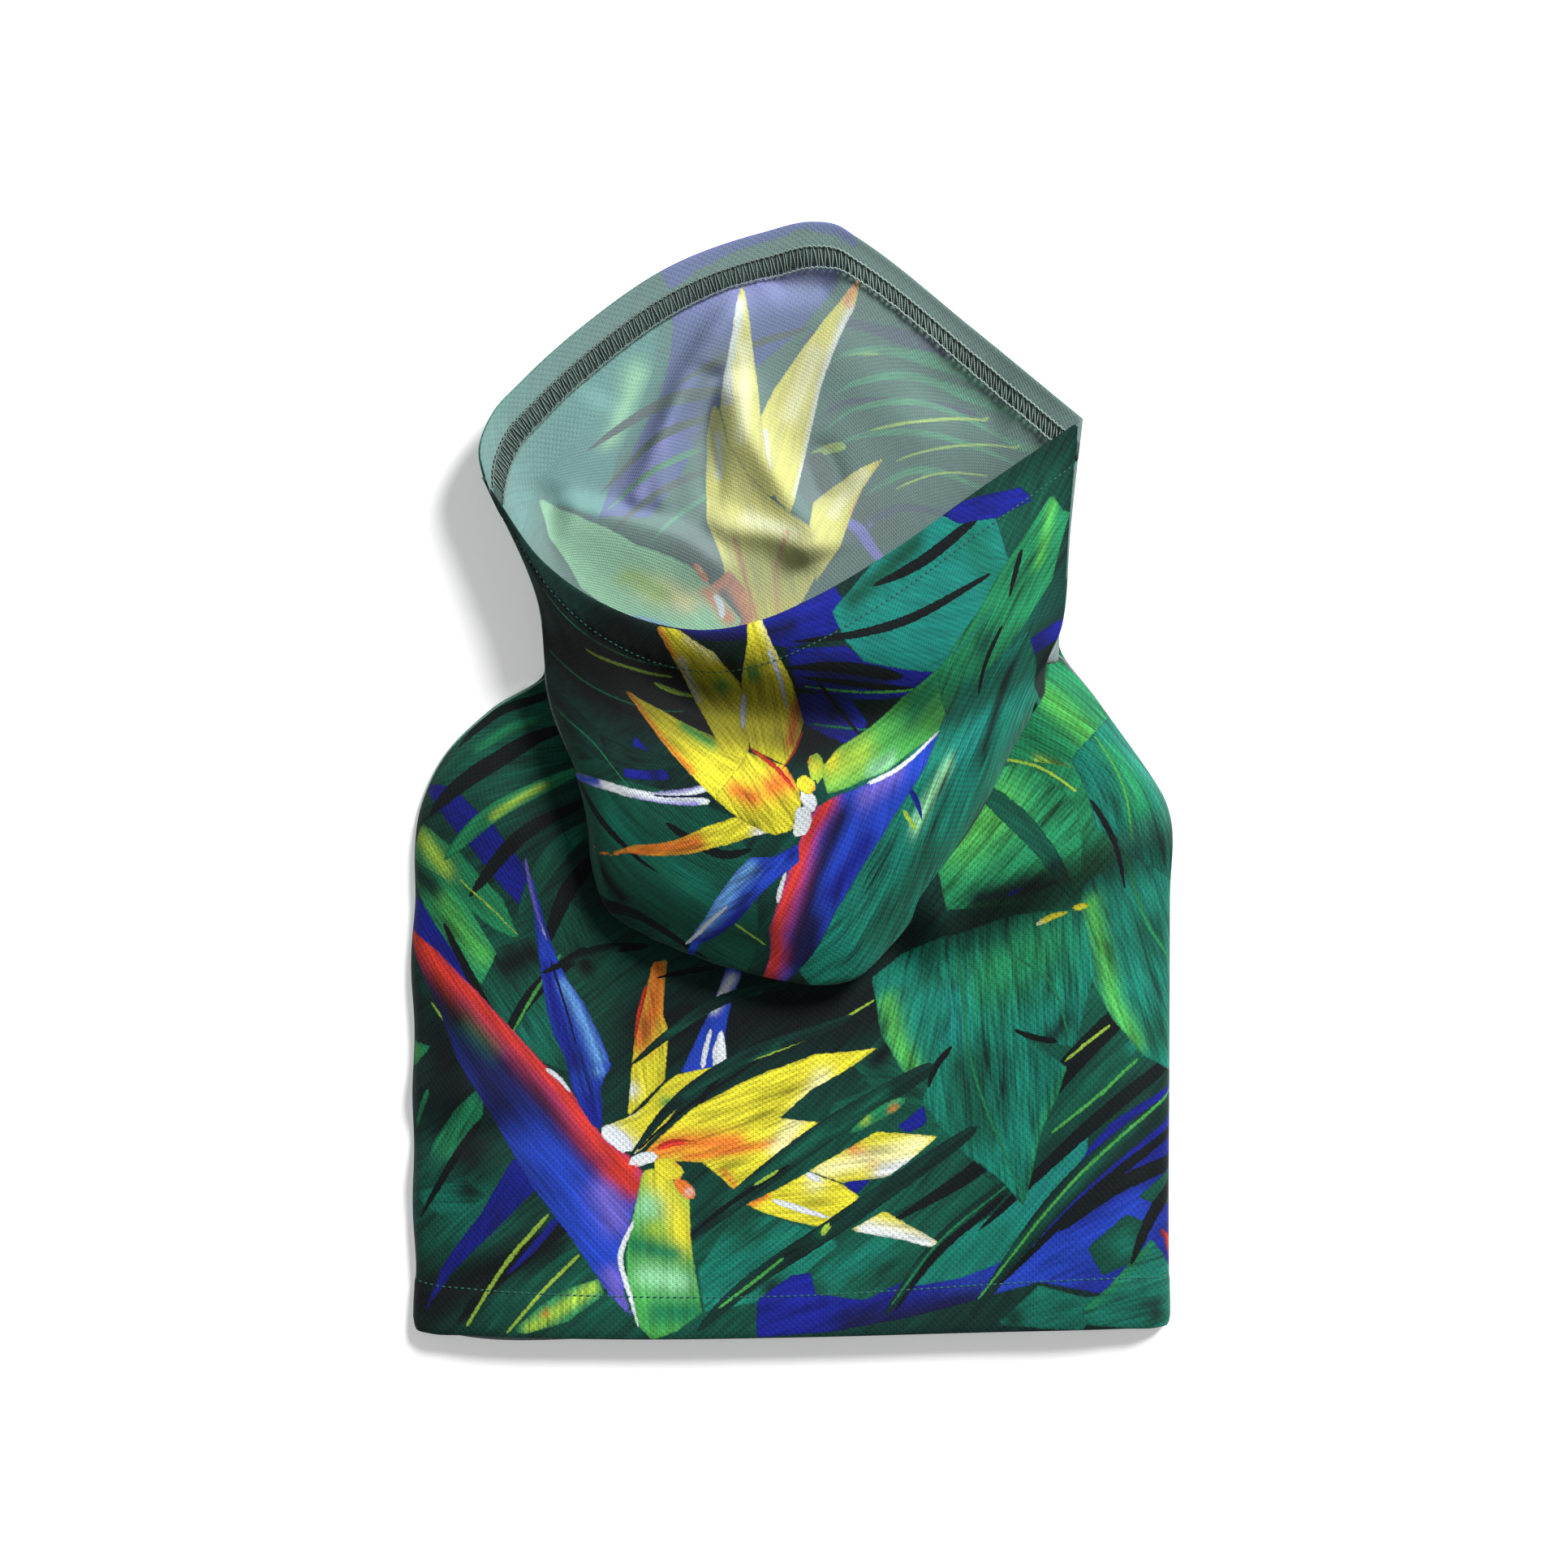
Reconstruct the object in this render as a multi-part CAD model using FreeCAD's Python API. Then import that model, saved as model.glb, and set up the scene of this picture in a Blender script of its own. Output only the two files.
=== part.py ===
"""Neck gaiter: a tube of printed knit lying on its back panel, its collar folded forward as a cowl.

Millimetres. +X across the tube, +Y from the bottom hem to the mouth, +Z up from the surface it lies on.
Each panel is a thin sheet: rows of guide points run across it, from the bottom hem to the rim.
"""

import FreeCAD, Part
import os
from math import dist

# Driving dimensions
FABRIC = 1.0  # thickness of a panel
REST = FABRIC / 2  # middle of the panel that lies flat
COLUMNS = 25  # places across a panel
STEPS = 4  # places from one row of guide points to the next
FINE = 400  # short steps that a guide curve is measured in
PLATE_END = -24.0  # the back panel is a true plane below this
NECK_ROLL = (3.0, 1.8)  # the sharp fold at the neck: its run-in and half its height
DROP_ROLL = (6.0, 4.5)  # the soft fold at the bottom of the cowl
CROWN_RISE = 9.0  # how far the cowl arches between its bottom fold and the rim

# Sewing, measured from the edge of the panel inwards
LOOPER_BAND = (7.8, 14.8)  # loops of the overlock on a turned hem
NEEDLE_LINE = (6.9, 7.5)  # its needle thread
STITCH_LINE = (13.5, 14.1)  # the stitching that shows outside
SEAM_LOOPER = (0.8, 4.0)
SEAM_NEEDLE = (4.2, 4.8)
SEAM_ENDS = 16.0  # side seams start and end this far inside the hems
THREAD = 0.4
THREAD_CLEARANCE = 0.3

# Guide points of the front panel, left to right
FRONT_HEM = [
    (-122.2, -177.0, 1.8), (-113, -178.6, 6.2), (-53, -180.4, 8.2),
    (35, -179.2, 8.2), (113, -177.2, 6.2), (122.2, -176.2, 1.8),
]
FRONT_SKIRT = [
    (-121.6, -95, 1.8), (-112, -95, 6.4), (-50, -95, 8.6),
    (50, -95, 8.6), (112, -94, 6.4), (122.2, -94, 1.8),
]
FRONT_CHEST = [
    (-121.2, -40, 1.8), (-112, -40, 6.4), (-45, -46, 8.8),
    (45, -46, 8.8), (112, -38, 6.4), (122.2, -38, 1.8),
]
FRONT_YOKE = [
    (-118.5, -8, 1.8), (-108, -8, 6.4), (-40, -24, 9.0),
    (30, -22, 9.0), (112, -9, 6.4), (121.6, -9, 1.8),
]
FRONT_SHOULDER = [
    (-97, 20.5, 2.8), (-86, 15, 6.8), (-38, -2, 9.2),
    (10, -2, 9.2), (56, 20, 9.0), (92, 28, 7.0), (99, 27, 3.2),
]
NECK_FOLD = [
    (-79.5, 36, 8.5), (-68, 25, 10.5), (-30, 13, 11.0),
    (5, 12, 11.0), (38, 34, 11.0), (64, 50, 10.5), (86, 46, 9.5),
]
COWL_BOTTOM = [
    (-66, -12, 12.5), (-60.5, -38, 15.0), (-35, -55, 16.5), (-9, -63.5, 17.0),
    (8, -66, 17.0), (22, -60, 17.0), (46, -24, 16.0), (70, 11, 14.0), (84, 33, 13.0),
]
FRONT_RIM = [
    (-98.5, 103, 17.6), (-72, 69, 21.0), (-40, 50, 23.5), (-18, 48.5, 24.0),
    (10, 59, 24.0), (50, 87, 21.0), (93.0, 116.5, 14.0),
]

# Guide points of the back panel, from where it leaves the plane
BACK_CORNERS = [(-122.2, -177.2), (-53, -180.6), (50, -178.8), (122.2, -176.2)]
BACK_START = [(-121.0, PLATE_END, REST), (0, PLATE_END, REST), (122.2, PLATE_END, REST)]
BACK_YOKE = [(-118.0, -8, REST), (0, -12, REST), (121.6, -8, REST)]
BACK_SHOULDER = [
    (-97, 20.5, 1.0), (-84, 18, REST), (0, 8, REST), (88, 24, REST), (99, 27, 1.0),
]
BACK_NECK = [
    (-79, 34, 6.0), (-64, 33, 1.2), (0, 32, REST), (70, 38, 1.2), (86, 43, 5.0),
]
BACK_COLLAR = [
    (-87.5, 71, 11.5), (-66, 76, 2.6), (0, 92, REST), (70, 82, 2.2), (91.0, 74, 8.5),
]
BACK_RIM = [
    (-98.5, 103, 16.2), (-86, 126, 10.0), (-38, 161, 4.0), (9.3, 180.2, 2.2),
    (22, 175, 2.0), (60, 143, 3.6), (93.0, 116.5, 12.4),
]


def curve_through(points, knots, places):
    """Places on a smooth curve that passes each point at its knot and hardly swings out between."""
    spans = [(q - p) / (b - a) for p, q, a, b in zip(points, points[1:], knots, knots[1:])]
    slopes = [spans[0]]
    for i in range(1, len(spans)):
        before = knots[i] - knots[i - 1]
        after = knots[i + 1] - knots[i]
        slopes.append((spans[i - 1] * after + spans[i] * before) / (before + after))
    slopes.append(spans[-1])
    found = []
    i = 0
    for place in places:
        while i < len(spans) - 1 and place > knots[i + 1]:
            i += 1
        width = knots[i + 1] - knots[i]
        t = (place - knots[i]) / width
        found.append(
            points[i] * ((1 + 2 * t) * (1 - t) ** 2)
            + slopes[i] * (width * t * (1 - t) ** 2)
            + points[i + 1] * (t * t * (3 - 2 * t))
            + slopes[i + 1] * (width * t * t * (t - 1))
        )
    return found


def walk(points, distance):
    """The place that far along a line of points."""
    for a, b in zip(points, points[1:]):
        step = a.distanceToPoint(b)
        if distance <= step:
            return a + (b - a) * (distance / step)
        distance -= step
    return points[-1]


def length_of(points):
    """The length of a line of points."""
    return sum(a.distanceToPoint(b) for a, b in zip(points, points[1:]))


def across(points, count=COLUMNS):
    """Evenly spaced places along a smooth curve through a few points."""
    points = [FreeCAD.Vector(*p) for p in points]
    knots = [0.0]
    for a, b in zip(points, points[1:]):
        knots.append(knots[-1] + a.distanceToPoint(b))
    fine = curve_through(points, knots, [knots[-1] * i / FINE for i in range(FINE + 1)])
    step = length_of(fine) / (count - 1)
    return [walk(fine, i * step) for i in range(count - 1)] + [fine[-1]]


def moved(row, y, z):
    """A row of places, moved along the tube and up."""
    return [p + FreeCAD.Vector(0, y, z) for p in row]


def between(row, other, share, rise):
    """A row a share of the way to another row, lifted in the middle by an arch."""
    lifts = [rise * (1 - (2 * i / (COLUMNS - 1) - 1) ** 2) for i in range(COLUMNS)]
    return [
        p + (q - p) * share + FreeCAD.Vector(0, 0, lift)
        for p, q, lift in zip(row, other, lifts)
    ]


def rows_of(guides):
    """Fine rows through the guide rows, each column on its own smooth curve."""
    knots = [0.0]
    for low, high in zip(guides, guides[1:]):
        knots.append(knots[-1] + sum(map(dist, low, high)) / COLUMNS)
    places = [
        a + (b - a) * k / STEPS for a, b in zip(knots, knots[1:]) for k in range(STEPS)
    ]
    places.append(knots[-1])
    columns = [curve_through(points, knots, places) for points in zip(*guides)]
    return [list(row) for row in zip(*columns)]


def normals_of(rows):
    """The direction of the panel's outer face at each place, up where it lies flat."""
    found = []
    last_row = len(rows) - 1
    last_column = len(rows[0]) - 1
    for i, row in enumerate(rows):
        below = rows[max(i - 1, 0)]
        above = rows[min(i + 1, last_row)]
        line = []
        for j in range(len(row)):
            along = above[j] - below[j]
            over = row[min(j + 1, last_column)] - row[max(j - 1, 0)]
            line.append(over.cross(along).normalize())
        found.append(line)
    return found


def skin(rows):
    """A smooth face through rows of points."""
    surface = Part.BSplineSurface()
    surface.interpolate(rows)
    return surface


def offset(rows, distance):
    """The rows, each place moved along the panel's normal."""
    return [
        [p + n * distance for p, n in zip(row, line)]
        for row, line in zip(rows, normals_of(rows))
    ]


def borders_of(lower, upper):
    """Matching edges of two skins: first row, last row, left side and right side."""
    u0, u1, v0, v1 = lower.bounds()
    s0, s1, t0, t1 = upper.bounds()
    curves = [
        (lower.uIso(u0), upper.uIso(s0)), (lower.uIso(u1), upper.uIso(s1)),
        (lower.vIso(v0), upper.vIso(t0)), (lower.vIso(v1), upper.vIso(t1)),
    ]
    return [(low.toShape(), high.toShape()) for low, high in curves]


def closed_solid(faces):
    """The solid inside faces that meet edge to edge."""
    shell = Part.makeShell(faces)
    shell.sewShape()
    solid = Part.makeSolid(shell)
    if solid.Volume < 0:
        solid.reverse()
    return solid


def solid_between(lower_rows, upper_rows):
    """The solid between two skins with matching rows."""
    lower = skin(lower_rows)
    upper = skin(upper_rows)
    walls = [Part.makeRuledSurface(*pair) for pair in borders_of(lower, upper)]
    return closed_solid([lower.toShape(), upper.toShape()] + walls)


def sheet(rows, low, high):
    """The solid between two offsets of the rows along their normals."""
    return solid_between(offset(rows, low), offset(rows, high))


def band_across(rows, band, from_rim):
    """Three lines that follow a hem, at the edges and the middle of a band inside it."""
    columns = [list(c) for c in zip(*rows)][1:-1]
    if from_rim:
        columns = [c[::-1] for c in columns]
    lines = [[walk(c, place) for c in columns] for place in (band[0], sum(band) / 2, band[1])]
    return lines[::-1] if from_rim else lines


def band_along(rows, band, right):
    """Short lines across a band that follows a side seam, from hem to hem."""
    runs = [0.0]
    for low, high in zip(rows, rows[1:]):
        runs.append(runs[-1] + low[0].distanceToPoint(high[0]))
    lines = []
    for row, run in zip(rows, runs):
        if SEAM_ENDS < run < runs[-1] - SEAM_ENDS:
            edge = row[::-1] if right else row
            line = [walk(edge, place) for place in (band[0], sum(band) / 2, band[1])]
            lines.append(line[::-1] if right else line)
    return lines


def thread_on(rows, offsets, picked, *choice):
    """A flat thread band on one side of a panel, where picked(rows, *choice) finds its lines."""
    low, high = (picked(offset(rows, distance), *choice) for distance in offsets)
    return solid_between(low, high)


def front_rows():
    """The front panel: skirt, back fold at the neck, roll at the cowl's bottom, then up to the rim."""
    neck = across(NECK_FOLD)
    drop = across(COWL_BOTTOM)
    rim = across(FRONT_RIM)
    neck_run, neck_half = NECK_ROLL
    drop_run, drop_half = DROP_ROLL
    above_drop = moved(drop, drop_run, drop_half)
    guides = [
        across(FRONT_HEM),
        across(FRONT_SKIRT),
        across(FRONT_CHEST),
        across(FRONT_YOKE),
        across(FRONT_SHOULDER),
        moved(neck, -neck_run, -neck_half),
        neck,
        moved(neck, -neck_run, neck_half),
        moved(drop, drop_run, -drop_half / 2),
        drop,
        above_drop,
        between(above_drop, rim, 0.3, CROWN_RISE),
        between(above_drop, rim, 0.65, CROWN_RISE),
        rim,
    ]
    return rows_of(guides)


def back_rows():
    """The back panel's collar, which rises at its sides to meet the front panel."""
    guides = [BACK_START, BACK_YOKE, BACK_SHOULDER, BACK_NECK, BACK_COLLAR, BACK_RIM]
    rows = rows_of([across(g) for g in guides])
    return [[FreeCAD.Vector(p.x, p.y, max(p.z, REST)) for p in row] for row in rows]


def back_panel(collar):
    """The back panel: a plane that the gaiter lies on, and the collar that grows out of it."""
    lower = skin(offset(collar, -REST))
    upper = skin(offset(collar, REST))
    start, rim, left, right = borders_of(lower, upper)
    outline = []
    flats = []
    for level, start_edge in zip((0, FABRIC), start):
        corners = [FreeCAD.Vector(x, y, level) for x, y in BACK_CORNERS]
        hem = Part.BSplineCurve()
        hem.interpolate(corners)
        ends = [v.Point for v in start_edge.Vertexes]
        left_end, right_end = sorted(ends, key=lambda p: p.x)
        edges = [
            hem.toShape(),
            Part.LineSegment(corners[0], left_end).toShape(),
            Part.LineSegment(corners[-1], right_end).toShape(),
        ]
        outline.append(edges)
        flats.append(Part.Face(Part.Wire(Part.__sortEdges__(edges + [start_edge]))))
    pairs = [rim, left, right, *zip(*outline)]
    walls = [Part.makeRuledSurface(*pair) for pair in pairs]
    return closed_solid([lower.toShape(), upper.toShape()] + flats + walls)


def plate_rows():
    """Rows over the flat part of the back panel, from its hem to where the collar starts."""
    start = across(BACK_START)
    hem = across([(x, y, REST) for x, y in BACK_CORNERS])
    count = 8
    return [
        [p + (q - p) * (i / count) for p, q in zip(hem, start)] for i in range(count)
    ]


def main():
    os.makedirs("parts", exist_ok=True)
    front = front_rows()
    collar = back_rows()
    back = plate_rows() + collar
    inside_back = (REST + THREAD_CLEARANCE, REST + THREAD_CLEARANCE + THREAD)
    inside_front = (-inside_back[1], -inside_back[0])
    outside_front = inside_back
    outside_back = inside_front
    nodes = {
        "front_panel": [sheet(front, -REST, REST)],
        "back_panel": [back_panel(collar)],
    }
    hems = {"bottom_hem": False, "top_hem": True}
    threads = {"looper_thread": LOOPER_BAND, "needle_thread": NEEDLE_LINE}
    for hem, at_rim in hems.items():
        for thread, band in threads.items():
            nodes[f"{hem}_{thread}"] = [
                thread_on(front, inside_front, band_across, band, at_rim),
                thread_on(back, inside_back, band_across, band, at_rim),
            ]
        under = outside_back if at_rim else inside_back
        nodes[f"{hem}_stitching"] = [
            thread_on(front, outside_front, band_across, STITCH_LINE, at_rim),
            thread_on(back, under, band_across, STITCH_LINE, at_rim),
        ]
    seams = {"looper_thread": SEAM_LOOPER, "needle_thread": SEAM_NEEDLE}
    for side, right in (("left", False), ("right", True)):
        for thread, band in seams.items():
            ribbon = thread_on(back, inside_back, band_along, band, right)
            nodes[f"{side}_seam_{thread}"] = [ribbon]
    for name, solids in nodes.items():
        shape = solids[0] if len(solids) == 1 else Part.makeCompound(solids)
        shape.exportStep(f"parts/{name}.step")
        box = shape.BoundBox
        print(name, shape.isValid(), round(shape.Volume), box)


main()
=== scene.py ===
"""Neck gaiter of printed knit: a sewn tube lying on its back panel, its collar folded forward as a cowl.

Each panel starts as a flat grid at its cut size and is laid into shape along rows of guide points.
The print is painted on the flat cloth as leaves and petals, each a mask with its own direction.
"""

import bpy
import numpy as np
from bpy.props import FloatProperty, FloatVectorProperty, IntProperty, PointerProperty
from bpy.types import Operator, Panel, PropertyGroup
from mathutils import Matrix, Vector


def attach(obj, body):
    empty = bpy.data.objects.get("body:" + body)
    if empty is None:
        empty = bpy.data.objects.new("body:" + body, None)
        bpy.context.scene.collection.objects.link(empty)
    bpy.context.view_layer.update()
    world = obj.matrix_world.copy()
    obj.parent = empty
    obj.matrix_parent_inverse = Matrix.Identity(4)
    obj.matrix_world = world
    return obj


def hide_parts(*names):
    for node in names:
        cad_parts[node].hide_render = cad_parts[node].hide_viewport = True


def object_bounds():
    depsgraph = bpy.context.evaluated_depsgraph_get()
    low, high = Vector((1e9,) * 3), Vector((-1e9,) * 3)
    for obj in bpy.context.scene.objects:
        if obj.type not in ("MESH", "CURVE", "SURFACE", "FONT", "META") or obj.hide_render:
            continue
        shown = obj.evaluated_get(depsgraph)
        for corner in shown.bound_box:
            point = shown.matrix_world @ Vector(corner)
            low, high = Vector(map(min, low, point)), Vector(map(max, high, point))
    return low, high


bl_info = {
    "name": "Neck gaiter",
    "version": (1, 0, 0),
    "blender": (4, 5, 0),
    "location": "3D View > Sidebar > Gaiter",
    "description": "Lays out a printed knit neck gaiter with its hems, seams and stitching",
    "category": "Object",
}

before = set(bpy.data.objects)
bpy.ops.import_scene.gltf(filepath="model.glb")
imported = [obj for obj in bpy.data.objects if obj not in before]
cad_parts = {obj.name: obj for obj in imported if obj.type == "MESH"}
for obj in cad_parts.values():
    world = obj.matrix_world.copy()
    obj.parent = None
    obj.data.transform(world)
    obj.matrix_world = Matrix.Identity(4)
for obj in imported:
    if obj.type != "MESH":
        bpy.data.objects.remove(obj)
CAD_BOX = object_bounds()
MM = 0.001
CAD_WIDTH = (CAD_BOX[1][0] - CAD_BOX[0][0]) / MM
GUIDE_WIDTH = 246.0  # the guide points are placed for a gaiter this wide
FIT = CAD_WIDTH / GUIDE_WIDTH

# -------- guide points, mm

FRONT_GUIDES = {
    "hem": [
        (-122, -175.5, 1.2), (-121.4, -177.4, 3.2), (-117, -178.6, 5.6), (-105, -179.2, 7.4),
        (-53, -180.4, 8.4), (0, -179.8, 8.6), (60, -178.2, 8.4), (108, -177.0, 7.4),
        (119, -176.6, 5.6), (122.2, -175.8, 3.2), (122.6, -174.5, 1.2),
    ],
    "skirt_low": [
        (-121.8, -140, 1.2), (-120.8, -140, 3.6), (-116, -140, 6.2), (-50, -141, 8.8),
        (50, -140, 8.8), (116, -139, 6.2), (121.6, -139, 3.6), (122.4, -139, 1.2),
    ],
    "skirt": [
        (-122.4, -95, 1.2), (-121.2, -95, 3.6), (-116, -95, 6.4), (-50, -96, 9.2),
        (50, -96, 9.2), (116, -94, 6.4), (121.8, -94, 3.6), (122.6, -94, 1.2),
    ],
    "chest": [
        (-121.8, -42, 1.2), (-120.6, -42, 3.6), (-115, -42, 6.4), (-45, -48, 9.2),
        (45, -48, 9.2), (116, -40, 6.8), (121.8, -38, 3.6), (122.8, -38, 1.2),
    ],
    "yoke": [
        (-119.6, -8, 1.2), (-118.4, -9, 3.6), (-112, -10, 6.4), (-40, -26, 9.4),
        (30, -24, 9.4), (114, -14, 8.0), (121.0, -12.5, 4.6), (122.8, -12, 1.6),
    ],
    "shoulder_low": [
        (-111, 9.5, 1.2), (-109, 7.6, 3.8), (-101, 3, 6.8), (-38, -12, 9.6),
        (20, -12, 9.6), (70, 4, 9.6), (112, 2, 7.8), (117, 0.5, 1.8),
    ],
    "shoulder": [
        (-97, 23, 1.6), (-93, 18, 4.8), (-84, 12, 7.6), (-36, -4, 9.8),
        (10, -4, 9.8), (56, 18, 9.8), (92, 28, 8.4), (99.5, 25.5, 2.4),
    ],
}
NECK_FOLD = [
    (-79.5, 37, 6.5), (-68, 25, 10.5), (-30, 13, 11.4),
    (5, 12, 11.4), (38, 34, 11.4), (64, 50, 10.5), (86.5, 46, 7.5),
]
COWL_BOTTOM = [
    (-66, -14, 12), (-63.5, -31, 13), (-59.5, -41.5, 14.5), (-48, -49.5, 16), (-35, -55.3, 17),
    (-9, -63.6, 17.5), (8, -66.2, 17.5), (20, -64.5, 17), (33, -53, 15.5), (48.5, -31, 14),
    (61.6, -10, 13), (72, 10.6, 12), (82, 28, 11),
]
COWL_GUIDES = {
    "cowl_low": [
        (-77, 24, 17), (-66, 4, 25), (-50, -16, 30), (-30, -27, 33), (0, -35, 34),
        (26, -26, 32), (50, 2, 27), (72, 30, 21), (87.5, 50, 14),
    ],
    "cowl_high": [
        (-82, 59, 17.5), (-72, 42, 24), (-55, 22, 29), (-34, 10, 32), (-8, 8, 33),
        (24, 22, 31), (54, 48, 26), (76, 68, 19), (90.2, 81, 14),
    ],
}
FRONT_RIM = [
    (-99, 97, 16.5), (-94.5, 90.5, 17.8), (-80, 70.5, 20.5), (-61, 56.5, 23), (-45, 50, 24.5),
    (-28, 47.5, 25), (-9, 51, 25), (7, 58, 24.5), (33, 73.5, 23), (59, 92, 19.5), (94, 116, 13),
]
BACK_GUIDES = {
    "hem": [
        (-122, -175.5, 0.3), (-112, -178.4, 0.3), (-53, -180.2, 0.3), (60, -178, 0.3), (122.6, -174.5, 0.3),
    ],
    "skirt_low": [(-121.8, -140, 0.3), (0, -140.5, 0.3), (122.4, -139, 0.3)],
    "skirt": [(-122.4, -95, 0.3), (0, -95, 0.3), (122.6, -94, 0.3)],
    "chest": [(-121.8, -42, 0.3), (0, -44, 0.3), (122.8, -38, 0.3)],
    "yoke": [(-119.6, -8, 0.3), (0, -12, 0.3), (122.8, -12, 0.4)],
    "shoulder_low": [(-111, 9.5, 0.4), (-100, 8, 0.3), (0, 2, 0.3), (104, 6, 0.3), (117, 0.5, 0.8)],
    "shoulder": [(-97, 23, 0.9), (-86, 20, 0.3), (0, 14, 0.3), (88, 24, 0.4), (99.5, 25.5, 1.4)],
    "neck": [(-79, 36, 5.6), (-66, 36, 1.6), (-40, 34, 0.4), (40, 38, 0.4), (74, 43, 1.6), (86.5, 44, 6.0)],
    "collar": [
        (-82, 58, 11), (-68, 62, 4.6), (-44, 66, 1.6), (0, 72, 0.6), (44, 70, 1.6), (72, 66, 3.6),
        (88.6, 62, 9),
    ],
    "throat": [
        (-90, 80, 15), (-82, 88, 10), (-60, 100, 6), (-30, 114, 3.5), (0, 124, 2.2),
        (30, 116, 2.4), (60, 100, 4.2), (82, 88, 8), (91.4, 88, 11.5),
    ],
    "rim": [
        (-99, 97, 16.5), (-100.5, 104, 16), (-96, 118, 12.5), (-87, 128, 10.5), (-66, 147, 8), (-38, 166, 6),
        (-9, 176.5, 4.6), (7, 180, 4.2), (15, 179, 4.2), (21, 175.3, 4.4), (59, 145.3, 6.5), (94, 116, 13),
    ],
}
NECK_ROLL = (3.0, 2.0)  # the sharp fold at the neck: its run-in and half its height
DROP_ROLL = (6.5, 4.8)  # the soft fold at the bottom of the cowl
SPAN_STEPS = 14  # fine places from one row of guide points to the next
NECK_SHARE = 0.515  # share of the cloth's length below the fold at the neck
RIM_REACH = 26.0  # mm below the rim where the cloth lies at its real length


def hermite(points, knots, places):
    """Rows on smooth curves that pass each row of points at its knot. points is (rows, columns, 3)."""
    points = np.asarray(points, float)
    knots = np.asarray(knots, float)
    places = np.asarray(places, float)
    gaps = np.diff(knots)[:, None, None]
    spans = np.diff(points, axis=0) / gaps
    inner = (spans[:-1] * gaps[1:] + spans[1:] * gaps[:-1]) / (gaps[1:] + gaps[:-1])
    slopes = np.concatenate([spans[:1], inner, spans[-1:]])
    i = np.clip(np.searchsorted(knots, places, side="right") - 1, 0, len(gaps) - 1)
    width = np.diff(knots)[i][:, None, None]
    t = ((places - knots[i]) / np.diff(knots)[i])[:, None, None]
    return (
        points[i] * (1 + 2 * t) * (1 - t) ** 2
        + slopes[i] * width * t * (1 - t) ** 2
        + points[i + 1] * t * t * (3 - 2 * t)
        + slopes[i + 1] * width * t * t * (t - 1)
    )


def measured(line):
    """The lengths of a line's parts, and the run from its start to each of its points."""
    lengths = np.linalg.norm(np.diff(line, axis=0), axis=1)
    return lengths, np.concatenate([[0.0], np.cumsum(lengths)])


def evenly(line, shares):
    """Places at shares of the length of a fine line of points."""
    runs = measured(line)[1]
    runs /= runs[-1]
    return np.stack([np.interp(shares, runs, line[:, k]) for k in range(3)], axis=1)


def across(points, shares):
    """Places at shares of the length of a smooth curve through a few points."""
    points = np.asarray(points, float)[:, None]
    knots = measured(points[:, 0])[1]
    fine = hermite(points, knots, np.linspace(0, knots[-1], 600))[:, 0]
    return evenly(fine, shares)


def true_near_rim(line, shares):
    """Shares of a line from neck to rim at which the cloth keeps its real length near the rim."""
    length = measured(line)[0].sum()
    cloth = (1 - NECK_SHARE) * bpy.context.scene.gaiter_sizes.length / MM
    gap = (1 - shares) * cloth
    gathered = RIM_REACH + (gap - RIM_REACH) * (length - RIM_REACH) / (cloth - RIM_REACH)
    return 1 - np.where(gap < RIM_REACH, gap, gathered) / length


def laid(guides, shares_over, shares_up, neck):
    """A grid of places through rows of guide points, (up, over, 3) in mm, with its neck row at NECK_SHARE."""
    rows = np.array([across(g, shares_over) if len(g) != len(shares_over) else g for g in guides])
    steps = np.linalg.norm(np.diff(rows, axis=0), axis=2).mean(axis=1)
    knots = np.concatenate([[0.0], np.cumsum(steps)])
    places = np.concatenate(
        [np.linspace(a, b, SPAN_STEPS, endpoint=False) for a, b in zip(knots, knots[1:])] + [knots[-1:]]
    )
    fine = hermite(rows, knots, places)
    below = shares_up <= NECK_SHARE
    low = shares_up[below] / NECK_SHARE
    high = (shares_up[~below] - NECK_SHARE) / (1 - NECK_SHARE)
    cut = neck * SPAN_STEPS
    columns = [
        np.concatenate([evenly(line[: cut + 1], low), evenly(line[cut:], true_near_rim(line[cut:], high))])
        for line in np.swapaxes(fine, 0, 1)
    ]
    return np.stack(columns, axis=1)


def front_surface(shares_over, shares_up):
    """The front panel: skirt, fold at the neck, roll at the bottom of the cowl, and up to the rim."""
    neck = across(NECK_FOLD, shares_over)
    drop = across(COWL_BOTTOM, shares_over)
    neck_run, neck_half = NECK_ROLL
    drop_run, drop_half = DROP_ROLL
    guides = [
        *FRONT_GUIDES.values(),
        neck + (0, -neck_run, -neck_half),
        neck,
        neck + (0, -neck_run, neck_half),
        drop + (0, drop_run, -drop_half / 2),
        drop,
        drop + (0, drop_run, drop_half),
        *COWL_GUIDES.values(),
        FRONT_RIM,
    ]
    return laid(guides, shares_over, shares_up, len(FRONT_GUIDES) + 1)


def back_surface(shares_over, shares_up):
    """The back panel: flat under the skirt, rising at its sides in the collar."""
    surface = laid(list(BACK_GUIDES.values()), shares_over, shares_up, list(BACK_GUIDES).index("neck"))
    surface[..., 2] = np.maximum(surface[..., 2], 0.3)
    return surface


def normals_of(grid):
    """Unit normals of a grid of places, up where it lies flat."""
    over = np.gradient(grid, axis=1)
    up = np.gradient(grid, axis=0)
    normals = np.cross(over, up)
    return normals / np.maximum(np.linalg.norm(normals, axis=2, keepdims=True), 1e-9)


# -------- folds of the lying cloth

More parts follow.
